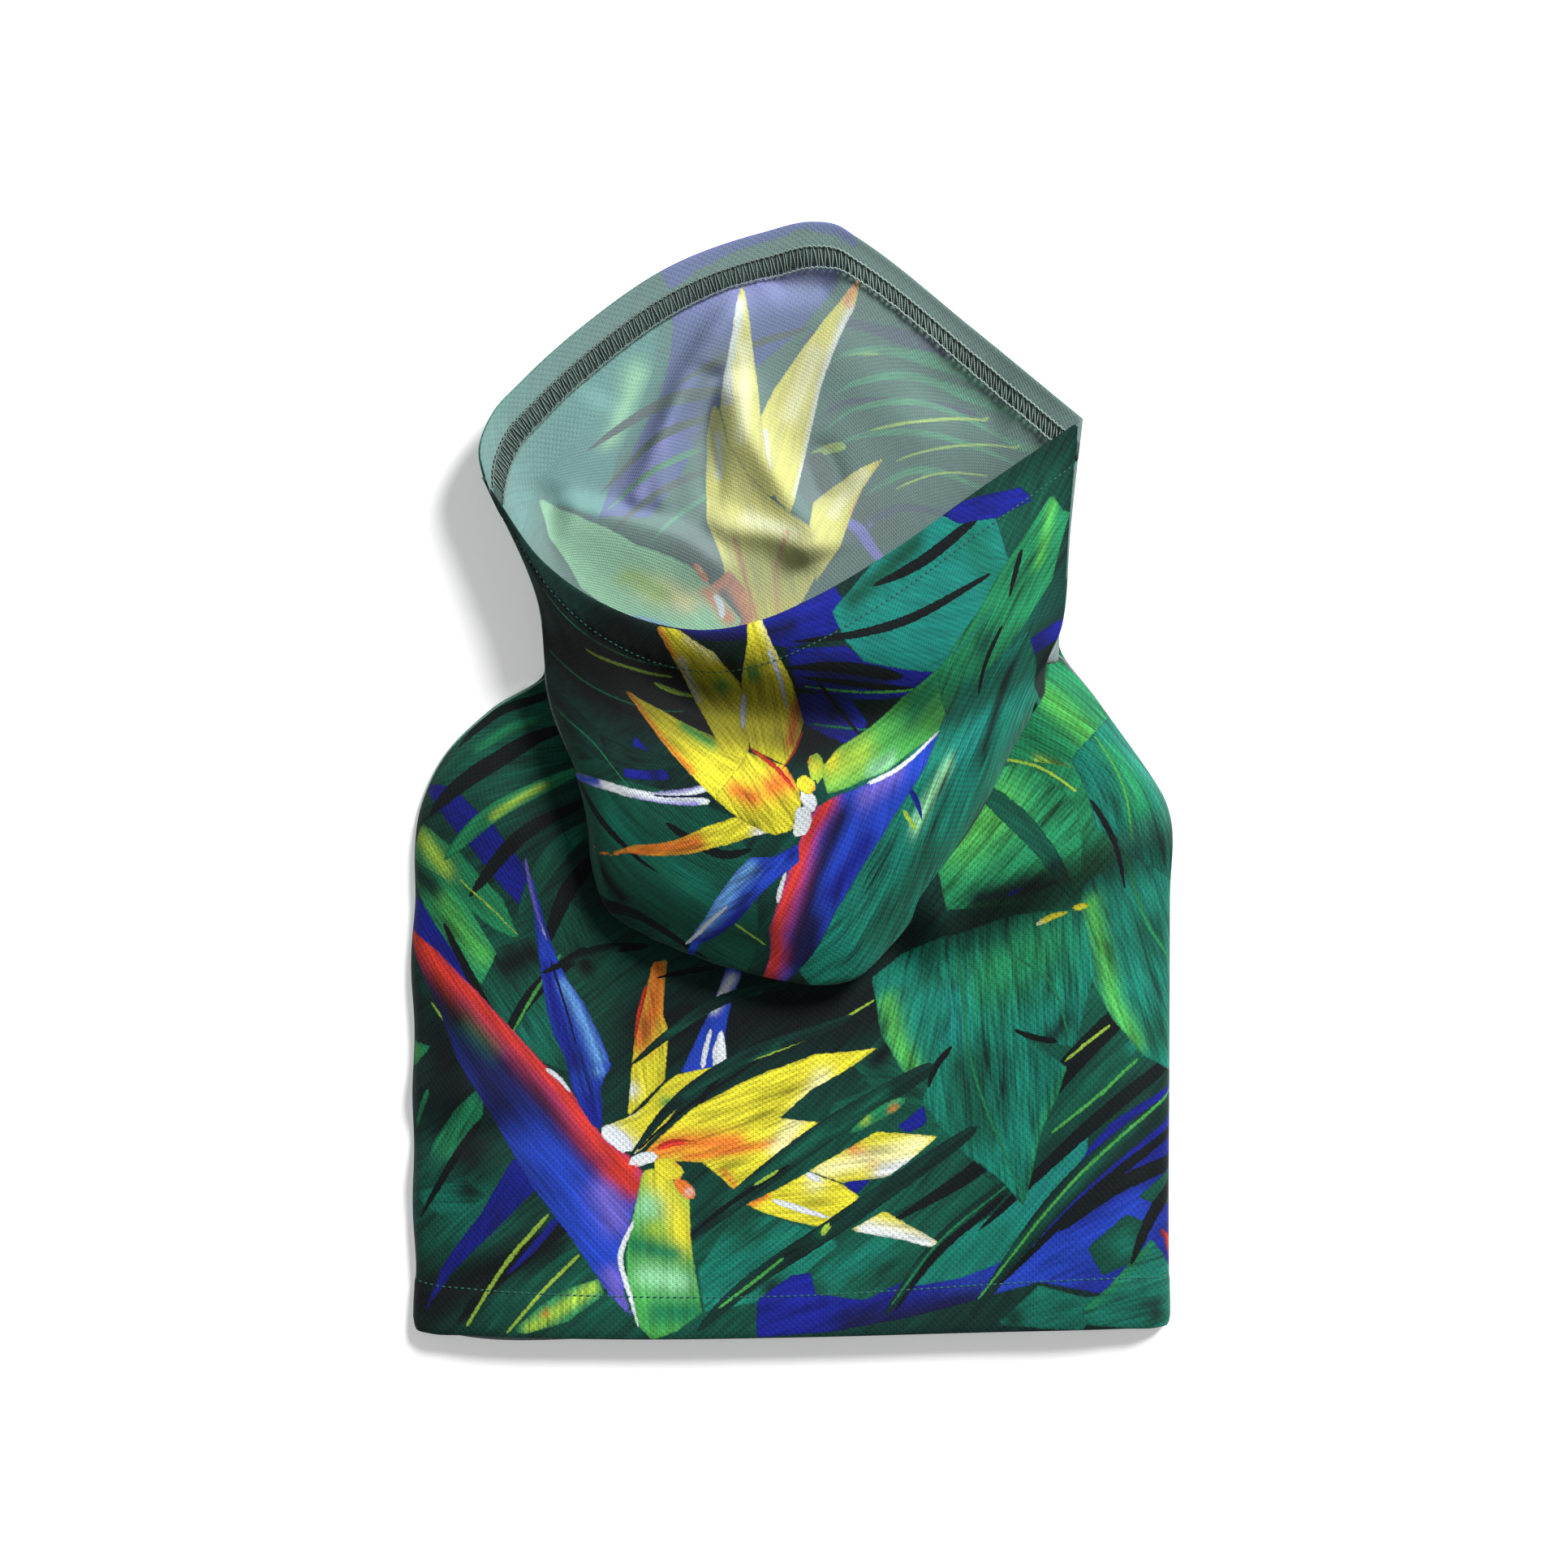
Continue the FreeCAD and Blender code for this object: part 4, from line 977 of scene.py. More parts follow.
def painted(u_line, t_line, ground, parts, inks):
    """Ground colours and print layers on the flat cloth: shapes that touch go to different layers."""
    u, t = np.meshgrid(u_line, t_line)
    base = np.broadcast_to(linear(inks[ground[0][1][0]]), (*u.shape, 3)).copy()
    for chart, (ink, washes), shown in ground:
        base = np.where(shown[..., None], washed(ink, u, t, washes, chart, inks), base)
    fields = np.zeros((PRINT_LAYERS, *u.shape, 3))
    fields[..., 2] = OUTSIDE_LAYER
    tints = np.zeros((PRINT_LAYERS, *u.shape, 4))
    used = np.zeros((PRINT_LAYERS, *u.shape), bool)
    for chart, shapes in parts:
        for shape in shapes:
            along, aside, width = shape_fields(shape, u, t, chart)
            near = width - np.abs(aside) > -NEAR
            if not near.any():
                continue
            wide = near.copy()
            wide[1:] |= near[:-1]
            wide[:-1] |= near[1:]
            wide[:, 1:] |= wide[:, :-1].copy()
            wide[:, :-1] |= wide[:, 1:].copy()
            over = [k for k in range(PRINT_LAYERS) if (used[k] & wide).any()]
            k = min(max(over) + 1 if over else 0, PRINT_LAYERS - 1)
            used[k] |= near
            fields[k][near] = np.stack([along, aside, width], axis=-1)[near]
            colour = washed(shape["ink"], u[near], t[near], shape["washes"], chart, inks)
            tints[k][near] = np.concatenate([colour, np.full((len(colour), 1), shape["streaks"])], axis=1)
    return base, fields, tints


# -------- the laid cloth

HEM_TURN = 1.73  # mm of cloth in the rounded fold of a hem
HEM_GAP = 1.1  # mm from the outer face of a panel to the outer face of its turned hem
HEM_EDGE_ROWS = np.array([0.43, 0.86, 1.3, 1.73, 3.4, 6.0, 8.8, 12.0])
HEM_LINE = 13.8  # mm from the fold of a hem to the stitches that hold it
COLLAR_JOIN = (50.0, 66.0)  # mm below the rim where the panels' edges part under the cowl
EDGE_REACH = {"front": 2.5, "back": 6.0}  # columns that follow a panel's edge to the seam
TUCK = 5.0  # mm that the back panel's free edges lie further in, between the neck and the collar
LEAST_HEIGHT = {"front": 0.8, "back": 0.12}  # mm that a panel's outer face keeps over the floor


def sizes():
    return bpy.context.scene.gaiter_sizes


def inks_now():
    colours = bpy.context.scene.gaiter_colours
    return {name: tuple(getattr(colours, name)) for name in GaiterColours.__annotations__}


def from_rim(line):
    """Distance of each place on a side edge from the rim, along the edge."""
    return np.concatenate([np.cumsum(measured(line)[0][::-1])[::-1], [0.0]])


def joined(front, back, t, top):
    """Both panels with their side edges brought together along the seams."""
    front, back = front.copy(), back.copy()
    columns = np.arange(front.shape[1])
    skirt = 1 - smooth((t - top * NECK_SHARE + 8) / 10)
    for edge in (0, -1):
        away = columns if edge == 0 else columns[::-1]
        middle = (front[:, edge] + back[:, edge]) / 2
        front_move = (middle - front[:, edge]) * skirt[:, None]
        back_move = (middle - back[:, edge]) * skirt[:, None]
        gap = from_rim(back[:, edge])
        front_gap = from_rim(front[:, edge])
        same = np.stack([np.interp(gap, front_gap[::-1], front[::-1, edge, k]) for k in range(3)], axis=1)
        collar = 1 - smooth((gap - COLLAR_JOIN[0]) / (COLLAR_JOIN[1] - COLLAR_JOIN[0]))
        back_move += (same - back[:, edge]) * collar[:, None]
        inward = TUCK if edge == 0 else -TUCK
        back_move[:, 0] += inward * (1 - skirt) * (1 - collar)
        front += front_move[:, None] * np.exp(-((away / EDGE_REACH["front"]) ** 2))[None, :, None]
        back += back_move[:, None] * np.exp(-((away / EDGE_REACH["back"]) ** 2))[None, :, None]
    return front, back


def turned_parts(surface):
    """For each column the rows of the fold at the neck and of the roll at the bottom of the cowl."""
    rise = np.diff(surface[..., 1], axis=0)
    rows = np.arange(len(rise))[:, None]
    neck = np.full(surface.shape[1], int(NECK_SHARE * len(rise)))
    drop = np.where((rise > 0) & (rows > neck + 6), rows, len(rise)).min(axis=0)
    return neck, drop


def edge_waves(surface, t):
    """Small waves of the side edges of the skirt."""
    columns = np.arange(surface.shape[1])
    wave = 0.7 * np.sin(t / 7.5) * np.sin(t / 23 + 0.6) * (1 - smooth((t - 120) / 30)) * smooth(t / 20)
    surface = surface.copy()
    surface[..., 0] += wave[:, None] * np.exp(-(columns / 9.0) ** 2)[None, :]
    return surface


def panels():
    """The laid outer faces of both panels on a grid of places of the flat cloth."""
    s = sizes()
    shares_over = np.linspace(0, 1, s.columns + 1)
    shares_up = np.linspace(0, 1, s.rows + 1)
    width, length = s.width / MM, s.length / MM
    u = shares_over * width
    t = shares_up * length
    front, back = front_surface(shares_over, shares_up), back_surface(shares_over, shares_up)
    neck, drop = turned_parts(front)
    rows = np.arange(len(t))[:, None]
    skirt = np.clip((neck - rows) / 8.0, 0, 1)
    cowl = np.clip((rows - drop) / 6.0, 0, 1)
    at_rim = 0.25 + 0.75 * smooth((length - t) / 22)[:, None]
    front = raised(front, SKIRT_FOLDS, smooth(skirt))
    front = raised(front, COWL_FOLDS, smooth(cowl) * at_rim)
    front = raised(front, RIM_FOLDS, smooth(cowl))
    back_rows = smooth((t - length * NECK_SHARE) / 12)[:, None]
    edges = smooth(np.minimum(u, width - u) / 10)[None, :]
    back = raised(back, INSIDE_FOLDS, back_rows * edges * smooth((length - t) / 9)[:, None])
    front, back = joined(front, back, t, length)
    front, back = edge_waves(front, t), edge_waves(back, t)
    front = with_hem_bulge(front, t, length)
    back = with_hem_bulge(back[:, ::-1], t, length)
    front[..., 2] = np.maximum(front[..., 2], LEAST_HEIGHT["front"])
    back[..., 2] = np.maximum(back[..., 2], LEAST_HEIGHT["back"])
    return {"u": u, "t": t, "front": front * FIT, "back": back * FIT, "neck": neck, "drop": drop}


def with_hem_bulge(surface, t, length):
    """Two layers of cloth stand proud at the hems, with a groove along the stitching and slight puckers."""
    gap = np.minimum(t, length - t)[:, None]
    over = np.arange(surface.shape[1])[None, :]
    lift = 0.32 * smooth((14.6 - gap) / 1.6) * smooth(gap / 1.2)
    lift = lift - 0.30 * np.exp(-(((gap - HEM_LINE) / 1.1) ** 2))
    lift = lift + 0.16 * np.sin(over * 1.9 + 2 * np.sin(over * 0.31)) * np.exp(-(((gap - 11.5) / 3.2) ** 2))
    return surface + normals_of(surface) * lift[..., None]


def at_places(grid, u_line, t_line, u, t):
    """Values of a grid at places of the flat cloth."""
    i = np.clip(np.interp(u, u_line, np.arange(len(u_line))), 0, len(u_line) - 1.001)
    j = np.clip(np.interp(t, t_line, np.arange(len(t_line))), 0, len(t_line) - 1.001)
    i0, j0 = i.astype(int), j.astype(int)
    fi, fj = (i - i0)[..., None], (j - j0)[..., None]
    low = grid[j0, i0] * (1 - fi) + grid[j0, i0 + 1] * fi
    high = grid[j0 + 1, i0] * (1 - fi) + grid[j0 + 1, i0 + 1] * fi
    return low * (1 - fj) + high * fj


def hem_rows(surface, normals, t, length, at_rim):
    """Rows of a turned hem, from its fold to its cut edge, inside the panel."""
    rows = []
    radius = HEM_GAP / 2
    for run in [*HEM_EDGE_ROWS, sizes().hem / MM]:
        turn = min(run / HEM_TURN, 1.0) * np.pi
        depth = max(run - HEM_TURN, 0.0)
        place = length - depth if at_rim else depth
        k = np.interp(place, t, np.arange(len(t)))
        k0 = min(int(k), len(t) - 2)
        point = surface[k0] * (1 - k + k0) + surface[k0 + 1] * (k - k0)
        normal = normals[k0] * (1 - k + k0) + normals[k0 + 1] * (k - k0)
        outward = surface[-1] - surface[-2] if at_rim else surface[0] - surface[1]
        outward /= np.linalg.norm(outward, axis=1, keepdims=True)
        rows.append(point - normal * radius * (1 - np.cos(turn)) + outward * radius * np.sin(turn))
    return np.array(rows)


def name_piece(piece, name, material_names):
    """Names a finished piece and gives it its finishes."""
    piece.name = name
    piece.data.name = name
    for material in material_names:
        piece.data.materials.append(bpy.data.materials[material])


def alone(piece=None):
    """Only this piece is selected, or nothing."""
    if bpy.context.object and bpy.context.object.mode != "OBJECT":
        bpy.ops.object.mode_set(mode="OBJECT")
    bpy.ops.object.select_all(action="DESELECT")
    if piece:
        piece.select_set(True)
        bpy.context.view_layer.objects.active = piece


def lay_panel(which, name):
    """One panel: a flat grid of its cut size, laid into shape, printed and given its thickness."""
    s = sizes()
    laid_down = panels()
    u, t = laid_down["u"], laid_down["t"]
    surface = laid_down[which]
    normals = normals_of(surface)
    length, hem = s.length / MM, s.hem / MM
    low = hem_rows(surface, normals, t, length, False)[::-1]
    high = hem_rows(surface, normals, t, length, True)
    places = np.concatenate([low, surface, high]) * MM
    runs = np.concatenate([HEM_EDGE_ROWS, [hem]])
    t_all = np.concatenate([-runs[::-1], t, length + runs])
    columns, rows = len(u) - 1, len(t_all) - 1
    alone()
    bpy.ops.mesh.primitive_grid_add(x_subdivisions=columns, y_subdivisions=rows, size=1)
    piece = bpy.context.object
    mesh = piece.data
    co = np.empty(len(mesh.vertices) * 3)
    mesh.vertices.foreach_get("co", co)
    co = co.reshape(-1, 3)
    i = np.rint((co[:, 0] + 0.5) * columns).astype(int)
    j = np.rint((co[:, 1] + 0.5) * rows).astype(int)
    mesh.vertices.foreach_set("co", places[j, i].ravel())
    corners = np.empty(len(mesh.loops), int)
    mesh.loops.foreach_get("vertex_index", corners)
    flat = np.stack([u / (s.width / MM), np.zeros(len(u))], axis=1)[i]
    flat[:, 1] = ((t_all + hem) / (length + 2 * hem))[j]
    mesh.uv_layers[0].data.foreach_set("uv", flat[corners].ravel())
    mesh.uv_layers[0].name = "flat cloth"
    print_cloth(mesh, which, laid_down, u, t_all, (j, i))
    name_piece(piece, name, ("Printed knit outside", "Printed knit inside", "Printed knit inside"))
    inner = np.zeros(len(mesh.polygons), int)
    rows_of_faces = np.array([min(j[v] for v in p.vertices) for p in mesh.polygons])
    inner[(rows_of_faces < len(runs) - 3) | (rows_of_faces >= rows - len(runs) + 3)] = 1
    mesh.polygons.foreach_set("material_index", inner)
    alone(piece)
    bpy.ops.object.shade_smooth()
    wall = piece.modifiers.new("Cloth", "SOLIDIFY")
    wall.thickness = s.cloth
    wall.offset = -1
    wall.use_even_offset = False
    wall.material_offset = 1
    wall.material_offset_rim = 1
    bpy.ops.object.modifier_apply(modifier=wall.name)
    return piece


def print_cloth(mesh, which, laid_down, u, t_all, index):
    """Paints the print on a panel as attributes of its mesh, with shade and light painted into its colours
    along the folds.
    """
    inks = inks_now()
    t = laid_down["t"]
    t_rows = np.clip(np.interp(t_all, t, np.arange(len(t))), 0, len(t) - 1)[:, None]
    surface = laid_down[which]
    rows = np.arange(len(t))[:, None]
    if which == "front":
        neck, drop = laid_down["neck"], laid_down["drop"]
        skirt = Chart(surface, u, t, rows <= neck)
        cowl = Chart(surface, u, t, rows >= drop)
        middle = (neck + drop) / 2
        ground = [(skirt, SKIRT_GROUND, t_rows <= middle), (cowl, COWL_GROUND, t_rows > middle)]
        parts = [(skirt, SKIRT_PRINT), (cowl, COWL_PRINT)]
        on_cowl = rows > (neck + drop)[None, :] / 2
        # Painted shade and light along the folds of the cowl and of the skirt
        painted_shading = np.where(on_cowl, painted_shade_of(surface / FIT, COWL_SHADES), painted_shade_of(surface / FIT, SKIRT_SHADES))
    else:
        cut = np.searchsorted(t, t[-1] * NECK_SHARE)
        columns = np.ones(len(u), bool)
        in_collar = (rows > cut) & columns
        skirt = Chart(surface, u, t, ~in_collar, True)
        inside = Chart(surface, u, t, in_collar)
        lower = (t_rows <= cut) & columns
        ground = [(skirt, SKIRT_GROUND, lower), (inside, INSIDE_GROUND, ~lower)]
        parts = [(skirt, SKIRT_PRINT), (inside, INSIDE_PRINT)]
        # Painted shade and light along the folds inside the collar only
        painted_shading = np.where(in_collar, painted_shade_of(surface / FIT, INSIDE_SHADES), 1.0)
    base, fields, tints = painted(u, t_all, ground, parts, inks)
    # Painted shade and light: the ground colour is darkened along the folds and lightened where a depth is
    # negative
    painted_shading = painted_shading[np.rint(t_rows[:, 0]).astype(int)][..., None]
    base = base * painted_shading
    j, i = index
    colour = mesh.attributes.new("ground", "FLOAT_COLOR", "POINT")
    rgba = np.concatenate([base[j, i], np.ones((len(j), 1))], axis=1)
    colour.data.foreach_set("color", rgba.ravel())
    for k in range(PRINT_LAYERS):
        field = mesh.attributes.new(f"shape_{k:02d}", "FLOAT_VECTOR", "POINT")
        field.data.foreach_set("vector", fields[k][j, i].ravel())
        tint = mesh.attributes.new(f"tint_{k:02d}", "FLOAT_COLOR", "POINT")
        # Painted shade and light in each layer's tint as well
        shaded = np.concatenate([tints[k][..., :3] * painted_shading, tints[k][..., 3:]], axis=2)
        tint.data.foreach_set("color", shaded[j, i].ravel())


# -------- finishes

def nodes_of(tree):
    """Short ways to add and link nodes in a tree."""

    def add(kind, **values):
        node = tree.nodes.new(kind)
        for key, value in values.items():
            setattr(node, key, value)
        return node

    def feed(socket, value):
        if isinstance(value, bpy.types.NodeSocket):
            tree.links.new(value, socket)
        else:
            socket.default_value = value

    def maths(operation, a, b=0.0, c=0.0, clamp=False):
        node = add("ShaderNodeMath", operation=operation, use_clamp=clamp)
        for socket, value in zip(node.inputs, (a, b, c)):
            feed(socket, value)
        return node.outputs[0]

    def blend(factor, a, b, kind="RGBA", how="MIX"):
        node = add("ShaderNodeMix", data_type=kind)
        if kind == "RGBA":
            node.blend_type = how
        feed(node.inputs["Factor"], factor)
        shown = [x for x in node.inputs if x.enabled]
        feed(shown[-2], a)
        feed(shown[-1], b)
        return next(x for x in node.outputs if x.enabled)

    def vector(operation, a, b=(0, 0, 0)):
        node = add("ShaderNodeVectorMath", operation=operation)
        feed(node.inputs[0], a)
        feed(node.inputs[1], b)
        return node.outputs[0]

    def scale(colour, share):
        node = add("ShaderNodeVectorMath", operation="SCALE")
        feed(node.inputs[0], colour)
        feed(node.inputs["Scale"], share)
        return node.outputs[0]

    def ramp(value, low, high, to_low=0.0, to_high=1.0, soft=True):
        node = add("ShaderNodeMapRange", interpolation_type="SMOOTHSTEP" if soft else "LINEAR")
        for socket, v in zip(node.inputs, (value, low, high, to_low, to_high)):
            feed(socket, v)
        return node.outputs[0]

    def noise(place, scale, detail=3.0, rough=0.55):
        node = add("ShaderNodeTexNoise")
        feed(node.inputs["Vector"], place)
        feed(node.inputs["Scale"], scale)
        feed(node.inputs["Detail"], detail)
        feed(node.inputs["Roughness"], rough)
        return node.outputs["Fac"]

    return add, feed, maths, blend, vector, scale, ramp, noise


def new_group(name, takes, gives):
    """An empty node group with named sockets; returns it with its input and output nodes."""
    group = bpy.data.node_groups.new(name, "ShaderNodeTree")
    for socket, kind, default in takes:
        made = group.interface.new_socket(socket, in_out="INPUT", socket_type=kind)
        if default is not None:
            made.default_value = default
    for socket, kind in gives:
        group.interface.new_socket(socket, in_out="OUTPUT", socket_type=kind)
    return group, group.nodes.new("NodeGroupInput"), group.nodes.new("NodeGroupOutput")


QUARTER_TURN = 1.5708  # radians
FLOAT, COLOUR, VECTOR = "NodeSocketFloat", "NodeSocketColor", "NodeSocketVector"


def painted_shape_group():
    """One layer of the print over what is under it."""
    group, given, result = new_group(
        "painted shape",
        [("Colour", COLOUR, None), ("Brush", VECTOR, None), ("Streaks", FLOAT, 0.5), ("Tint", COLOUR, None),
         ("Tint streaks", FLOAT, 0.5), ("Shape", VECTOR, None), ("Wobble", FLOAT, 0.0)],
        [("Colour", COLOUR), ("Brush", VECTOR), ("Streaks", FLOAT)],
    )
    add, feed, maths, blend, vector, scale, ramp, noise = nodes_of(group)
    split = add("ShaderNodeSeparateXYZ")
    feed(split.inputs[0], given.outputs["Shape"])
    inside = maths("SUBTRACT", split.outputs[2], maths("ABSOLUTE", split.outputs[1]))
    inside = maths("ADD", inside, given.outputs["Wobble"])
    mask = ramp(inside, *MASK_EDGE)
    drawn = ramp(inside, *DRAWN_EDGE, 0.74, 1.0)
    under, over = given.outputs, {"Colour": scale(given.outputs["Tint"], drawn)}
    over.update(Brush=under["Shape"], Streaks=under["Tint streaks"])
    for socket, kind in (("Colour", "RGBA"), ("Brush", "VECTOR"), ("Streaks", "FLOAT")):
        feed(result.inputs[socket], blend(mask, under[socket], over[socket], kind))
    return group


def cloth_place(add, vector):
    """The place on the flat cloth, in mm."""
    uv = add("ShaderNodeUVMap", uv_map="flat cloth")
    s = sizes()
    return vector("MULTIPLY", uv.outputs[0], (s.width / MM, (s.length + 2 * s.hem) / MM, 1))


def gaiter_print_group():
    """The whole print: ground, shape layers and brush streaks."""
    group, given, result = new_group("gaiter print", [("Streak depth", FLOAT, 1.0)], [("Colour", COLOUR)])
    add, feed, maths, blend, vector, scale, ramp, noise = nodes_of(group)
    place = cloth_place(add, vector)
    turned = add("ShaderNodeVectorRotate", rotation_type="Z_AXIS")
    feed(turned.inputs["Vector"], place)
    turned.inputs["Angle"].default_value = -0.75
    wobble = maths("MULTIPLY", maths("SUBTRACT", noise(place, 0.55, 2.0), 0.5), 0.9)
    ground = add("ShaderNodeAttribute", attribute_name="ground")
    colour, brush, streaks = ground.outputs["Color"], turned.outputs[0], 0.7
    layer_group = painted_shape_group()
    for k in range(PRINT_LAYERS):
        layer = add("ShaderNodeGroup", node_tree=layer_group)
        tint = add("ShaderNodeAttribute", attribute_name=f"tint_{k:02d}")
        shape = add("ShaderNodeAttribute", attribute_name=f"shape_{k:02d}")
        paint = (tint.outputs["Color"], tint.outputs["Alpha"], shape.outputs["Vector"])
        for socket, value in zip(layer.inputs, (colour, brush, streaks, *paint, wobble)):
            feed(socket, value)
        colour, brush, streaks = layer.outputs["Colour"], layer.outputs["Brush"], layer.outputs["Streaks"]
    fine = noise(vector("MULTIPLY", brush, (0.07, 0.85, 0)), 1.0, 3.0, 0.6)
    broad = noise(vector("MULTIPLY", brush, (0.035, 0.22, 0)), 1.0, 2.0, 0.5)
    depth = maths("MULTIPLY", streaks, given.outputs["Streak depth"])
    fine = maths("MULTIPLY", maths("SUBTRACT", fine, 0.5), maths("MULTIPLY", depth, 3.1))
    broad = maths("MULTIPLY", maths("SUBTRACT", broad, 0.5), maths("MULTIPLY", depth, 2.5))
    light = maths("MAXIMUM", maths("ADD", maths("ADD", fine, broad), 1.0), 0.12)
    feed(result.inputs["Colour"], scale(colour, light))
    return group


def knit_group():
    """Rows of eyelets and ribs of the knit on the flat cloth, with shade painted into the eyelet holes and
    the grooves between the rows.
    """
    group, given, result = new_group(
        "knit",
        [("Pitch", FLOAT, 2.1), ("Row", FLOAT, 1.05), ("Eyelet", FLOAT, 0.5), ("Rib", FLOAT, 0.5)],
        [("Shade", FLOAT), ("Height", FLOAT), ("Eyelets", FLOAT)],
    )
    add, feed, maths, blend, vector, scale, ramp, noise = nodes_of(group)
    place = cloth_place(add, vector)
    split = add("ShaderNodeSeparateXYZ")
    feed(split.inputs[0], place)
    rows = maths("DIVIDE", split.outputs[1], given.outputs["Row"])
    row = maths("FLOOR", rows)
    shift = maths("MULTIPLY", maths("MODULO", row, 2.0), 0.5)
    columns = maths("DIVIDE", split.outputs[0], given.outputs["Pitch"])
    over = maths("SUBTRACT", maths("FRACT", maths("ADD", columns, shift)), 0.5)
    up = maths("SUBTRACT", maths("FRACT", rows), 0.5)
    gap_over = maths("POWER", maths("MULTIPLY", over, 3.4), 2.0)
    gap_up = maths("POWER", maths("MULTIPLY", up, 3.2), 2.0)
    gap = maths("SQRT", maths("ADD", gap_over, gap_up))
    eyelet = ramp(gap, 0.35, 1.05, 1.0, 0.0)
    wave = maths("COSINE", maths("MULTIPLY", rows, 4 * QUARTER_TURN))
    rib = maths("MULTIPLY", maths("ADD", wave, 1.0), 0.5)
    stitch = maths("ABSOLUTE", maths("SINE", maths("MULTIPLY", split.outputs[0], 5.6)))
    # Painted shade: darker in the eyelet holes and along the grooves between the rows, where the height is
    # sunk
    shade = maths("SUBTRACT", 1.0, maths("MULTIPLY", eyelet, given.outputs["Eyelet"]))
    shade = maths("MULTIPLY", shade, maths("SUBTRACT", 1.0, maths("MULTIPLY", rib, given.outputs["Rib"])))
    sunk = maths("ADD", eyelet, maths("MULTIPLY", rib, 0.5))
    height = maths("SUBTRACT", maths("MULTIPLY", stitch, 0.35), sunk)
    feed(result.inputs["Shade"], shade)
    feed(result.inputs["Height"], height)
    feed(result.inputs["Eyelets"], eyelet)
    return group


def fuzz_group():
    """Small uneven light and relief of spun yarn."""
    gives = [("Shade", FLOAT), ("Height", FLOAT)]
    group, given, result = new_group("yarn fuzz", [("Scale", FLOAT, 900.0)], gives)
    add, feed, maths, blend, vector, scale, ramp, noise = nodes_of(group)
    place = add("ShaderNodeTexCoord").outputs["Object"]
    fuzz = noise(place, given.outputs["Scale"], 3.0, 0.6)
    feed(result.inputs["Shade"], maths("ADD", 0.86, maths("MULTIPLY", fuzz, 0.28)))
    feed(result.inputs["Height"], fuzz)
    return group


def roughen(add, feed, shader, height, strength, depth):
    """Relief on a shader's surface; depth is in metres."""
    bump = add("ShaderNodeBump")
    bump.inputs["Strength"].default_value = strength
    bump.inputs["Distance"].default_value = depth
    feed(bump.inputs["Height"], height)
    feed(shader.inputs["Normal"], bump.outputs[0])


def new_material(name, roughness, sheen):
    """A material with its shader ready."""
    material = bpy.data.materials.new(name)
    material.use_nodes = True
    shader = material.node_tree.nodes["Principled BSDF"]
    shader.inputs["Roughness"].default_value = roughness
    shader.inputs["Sheen Weight"].default_value = sheen
    shader.inputs["Sheen Roughness"].default_value = 0.45
    shader.inputs["Specular IOR Level"].default_value = 0.22
    return material, shader


def knit_material(name, pale_share, eyelet, rib, streaks, groups):
    """The printed knit, seen on its outside or its paler inside."""
    material, shader = new_material(name, 0.8, 0.06)
    tree = material.node_tree
    add, feed, maths, blend, vector, scale, ramp, noise = nodes_of(tree)
    art = add("ShaderNodeGroup", node_tree=groups["print"])
    art.inputs["Streak depth"].default_value = streaks
    knit = add("ShaderNodeGroup", node_tree=groups["knit"])
    knit.inputs["Eyelet"].default_value = eyelet
    knit.inputs["Rib"].default_value = rib
    fuzz = add("ShaderNodeGroup", node_tree=groups["fuzz"])
    colour = art.outputs["Colour"]
    if pale_share:
        colour = blend(pale_share, colour, (*linear(inks_now()["pale"]), 1.0))
        place = add("ShaderNodeSeparateXYZ")
        feed(place.inputs[0], cloth_place(add, vector))
        middle = (sizes().length / 2 + sizes().hem) / MM
        reach = maths("ABSOLUTE", maths("SUBTRACT", place.outputs[1], middle))
        # Painted shade: the inside is darker on the last 5 to 6.4 mm of cloth at each cut edge, where it lies
        # under the overlock loops
        under = ramp(reach, middle - 6.4, middle - 5.0, 1.0, 0.38)
        colour = scale(colour, under)
    shade = maths("MULTIPLY", knit.outputs["Shade"], fuzz.outputs["Shade"])
    feed(shader.inputs["Base Color"], scale(colour, shade))
    rough = maths("ADD", 0.72, maths("MULTIPLY", fuzz.outputs["Height"], 0.2))
    feed(shader.inputs["Roughness"], rough)
    height = maths("ADD", knit.outputs["Height"], maths("MULTIPLY", fuzz.outputs["Height"], 0.5))
    roughen(add, feed, shader, height, 0.55, 0.00022)
    return material


def thread_material(name, ink, groups, dark):
    """Twisted sewing thread, darker towards one side of the gaiter, with shade painted into the grooves of
    its twist.
    """
    material, shader = new_material(name, 0.6, 0.08)
    add, feed, maths, blend, vector, scale, ramp, noise = nodes_of(material.node_tree)
    place = add("ShaderNodeTexCoord").outputs["Object"]
    split = add("ShaderNodeSeparateXYZ")
    feed(split.inputs[0], place)
    side = ramp(split.outputs[0], -0.02, 0.03)
    fuzz = add("ShaderNodeGroup", node_tree=groups["fuzz"])
    fuzz.inputs["Scale"].default_value = 1800.0
    full = linear(inks_now()[ink])
    colour = blend(side, (*(full * dark), 1.0), (*full, 1.0))
    twist = add("ShaderNodeTexWave", wave_type="BANDS", bands_direction="DIAGONAL")
    feed(twist.inputs["Vector"], place)
    twist.inputs["Scale"].default_value = 900.0
    twist.inputs["Distortion"].default_value = 1.5
    # Painted shade: darker in the grooves of the twist, where the bump is low
    ply = maths("ADD", 0.72, maths("MULTIPLY", twist.outputs["Fac"], 0.4))
    shade = maths("MULTIPLY", ply, fuzz.outputs["Shade"])
    feed(shader.inputs["Base Color"], scale(colour, shade))
    roughen(add, feed, shader, twist.outputs["Fac"], 0.5, 0.00008)
    return material


# -------- threads

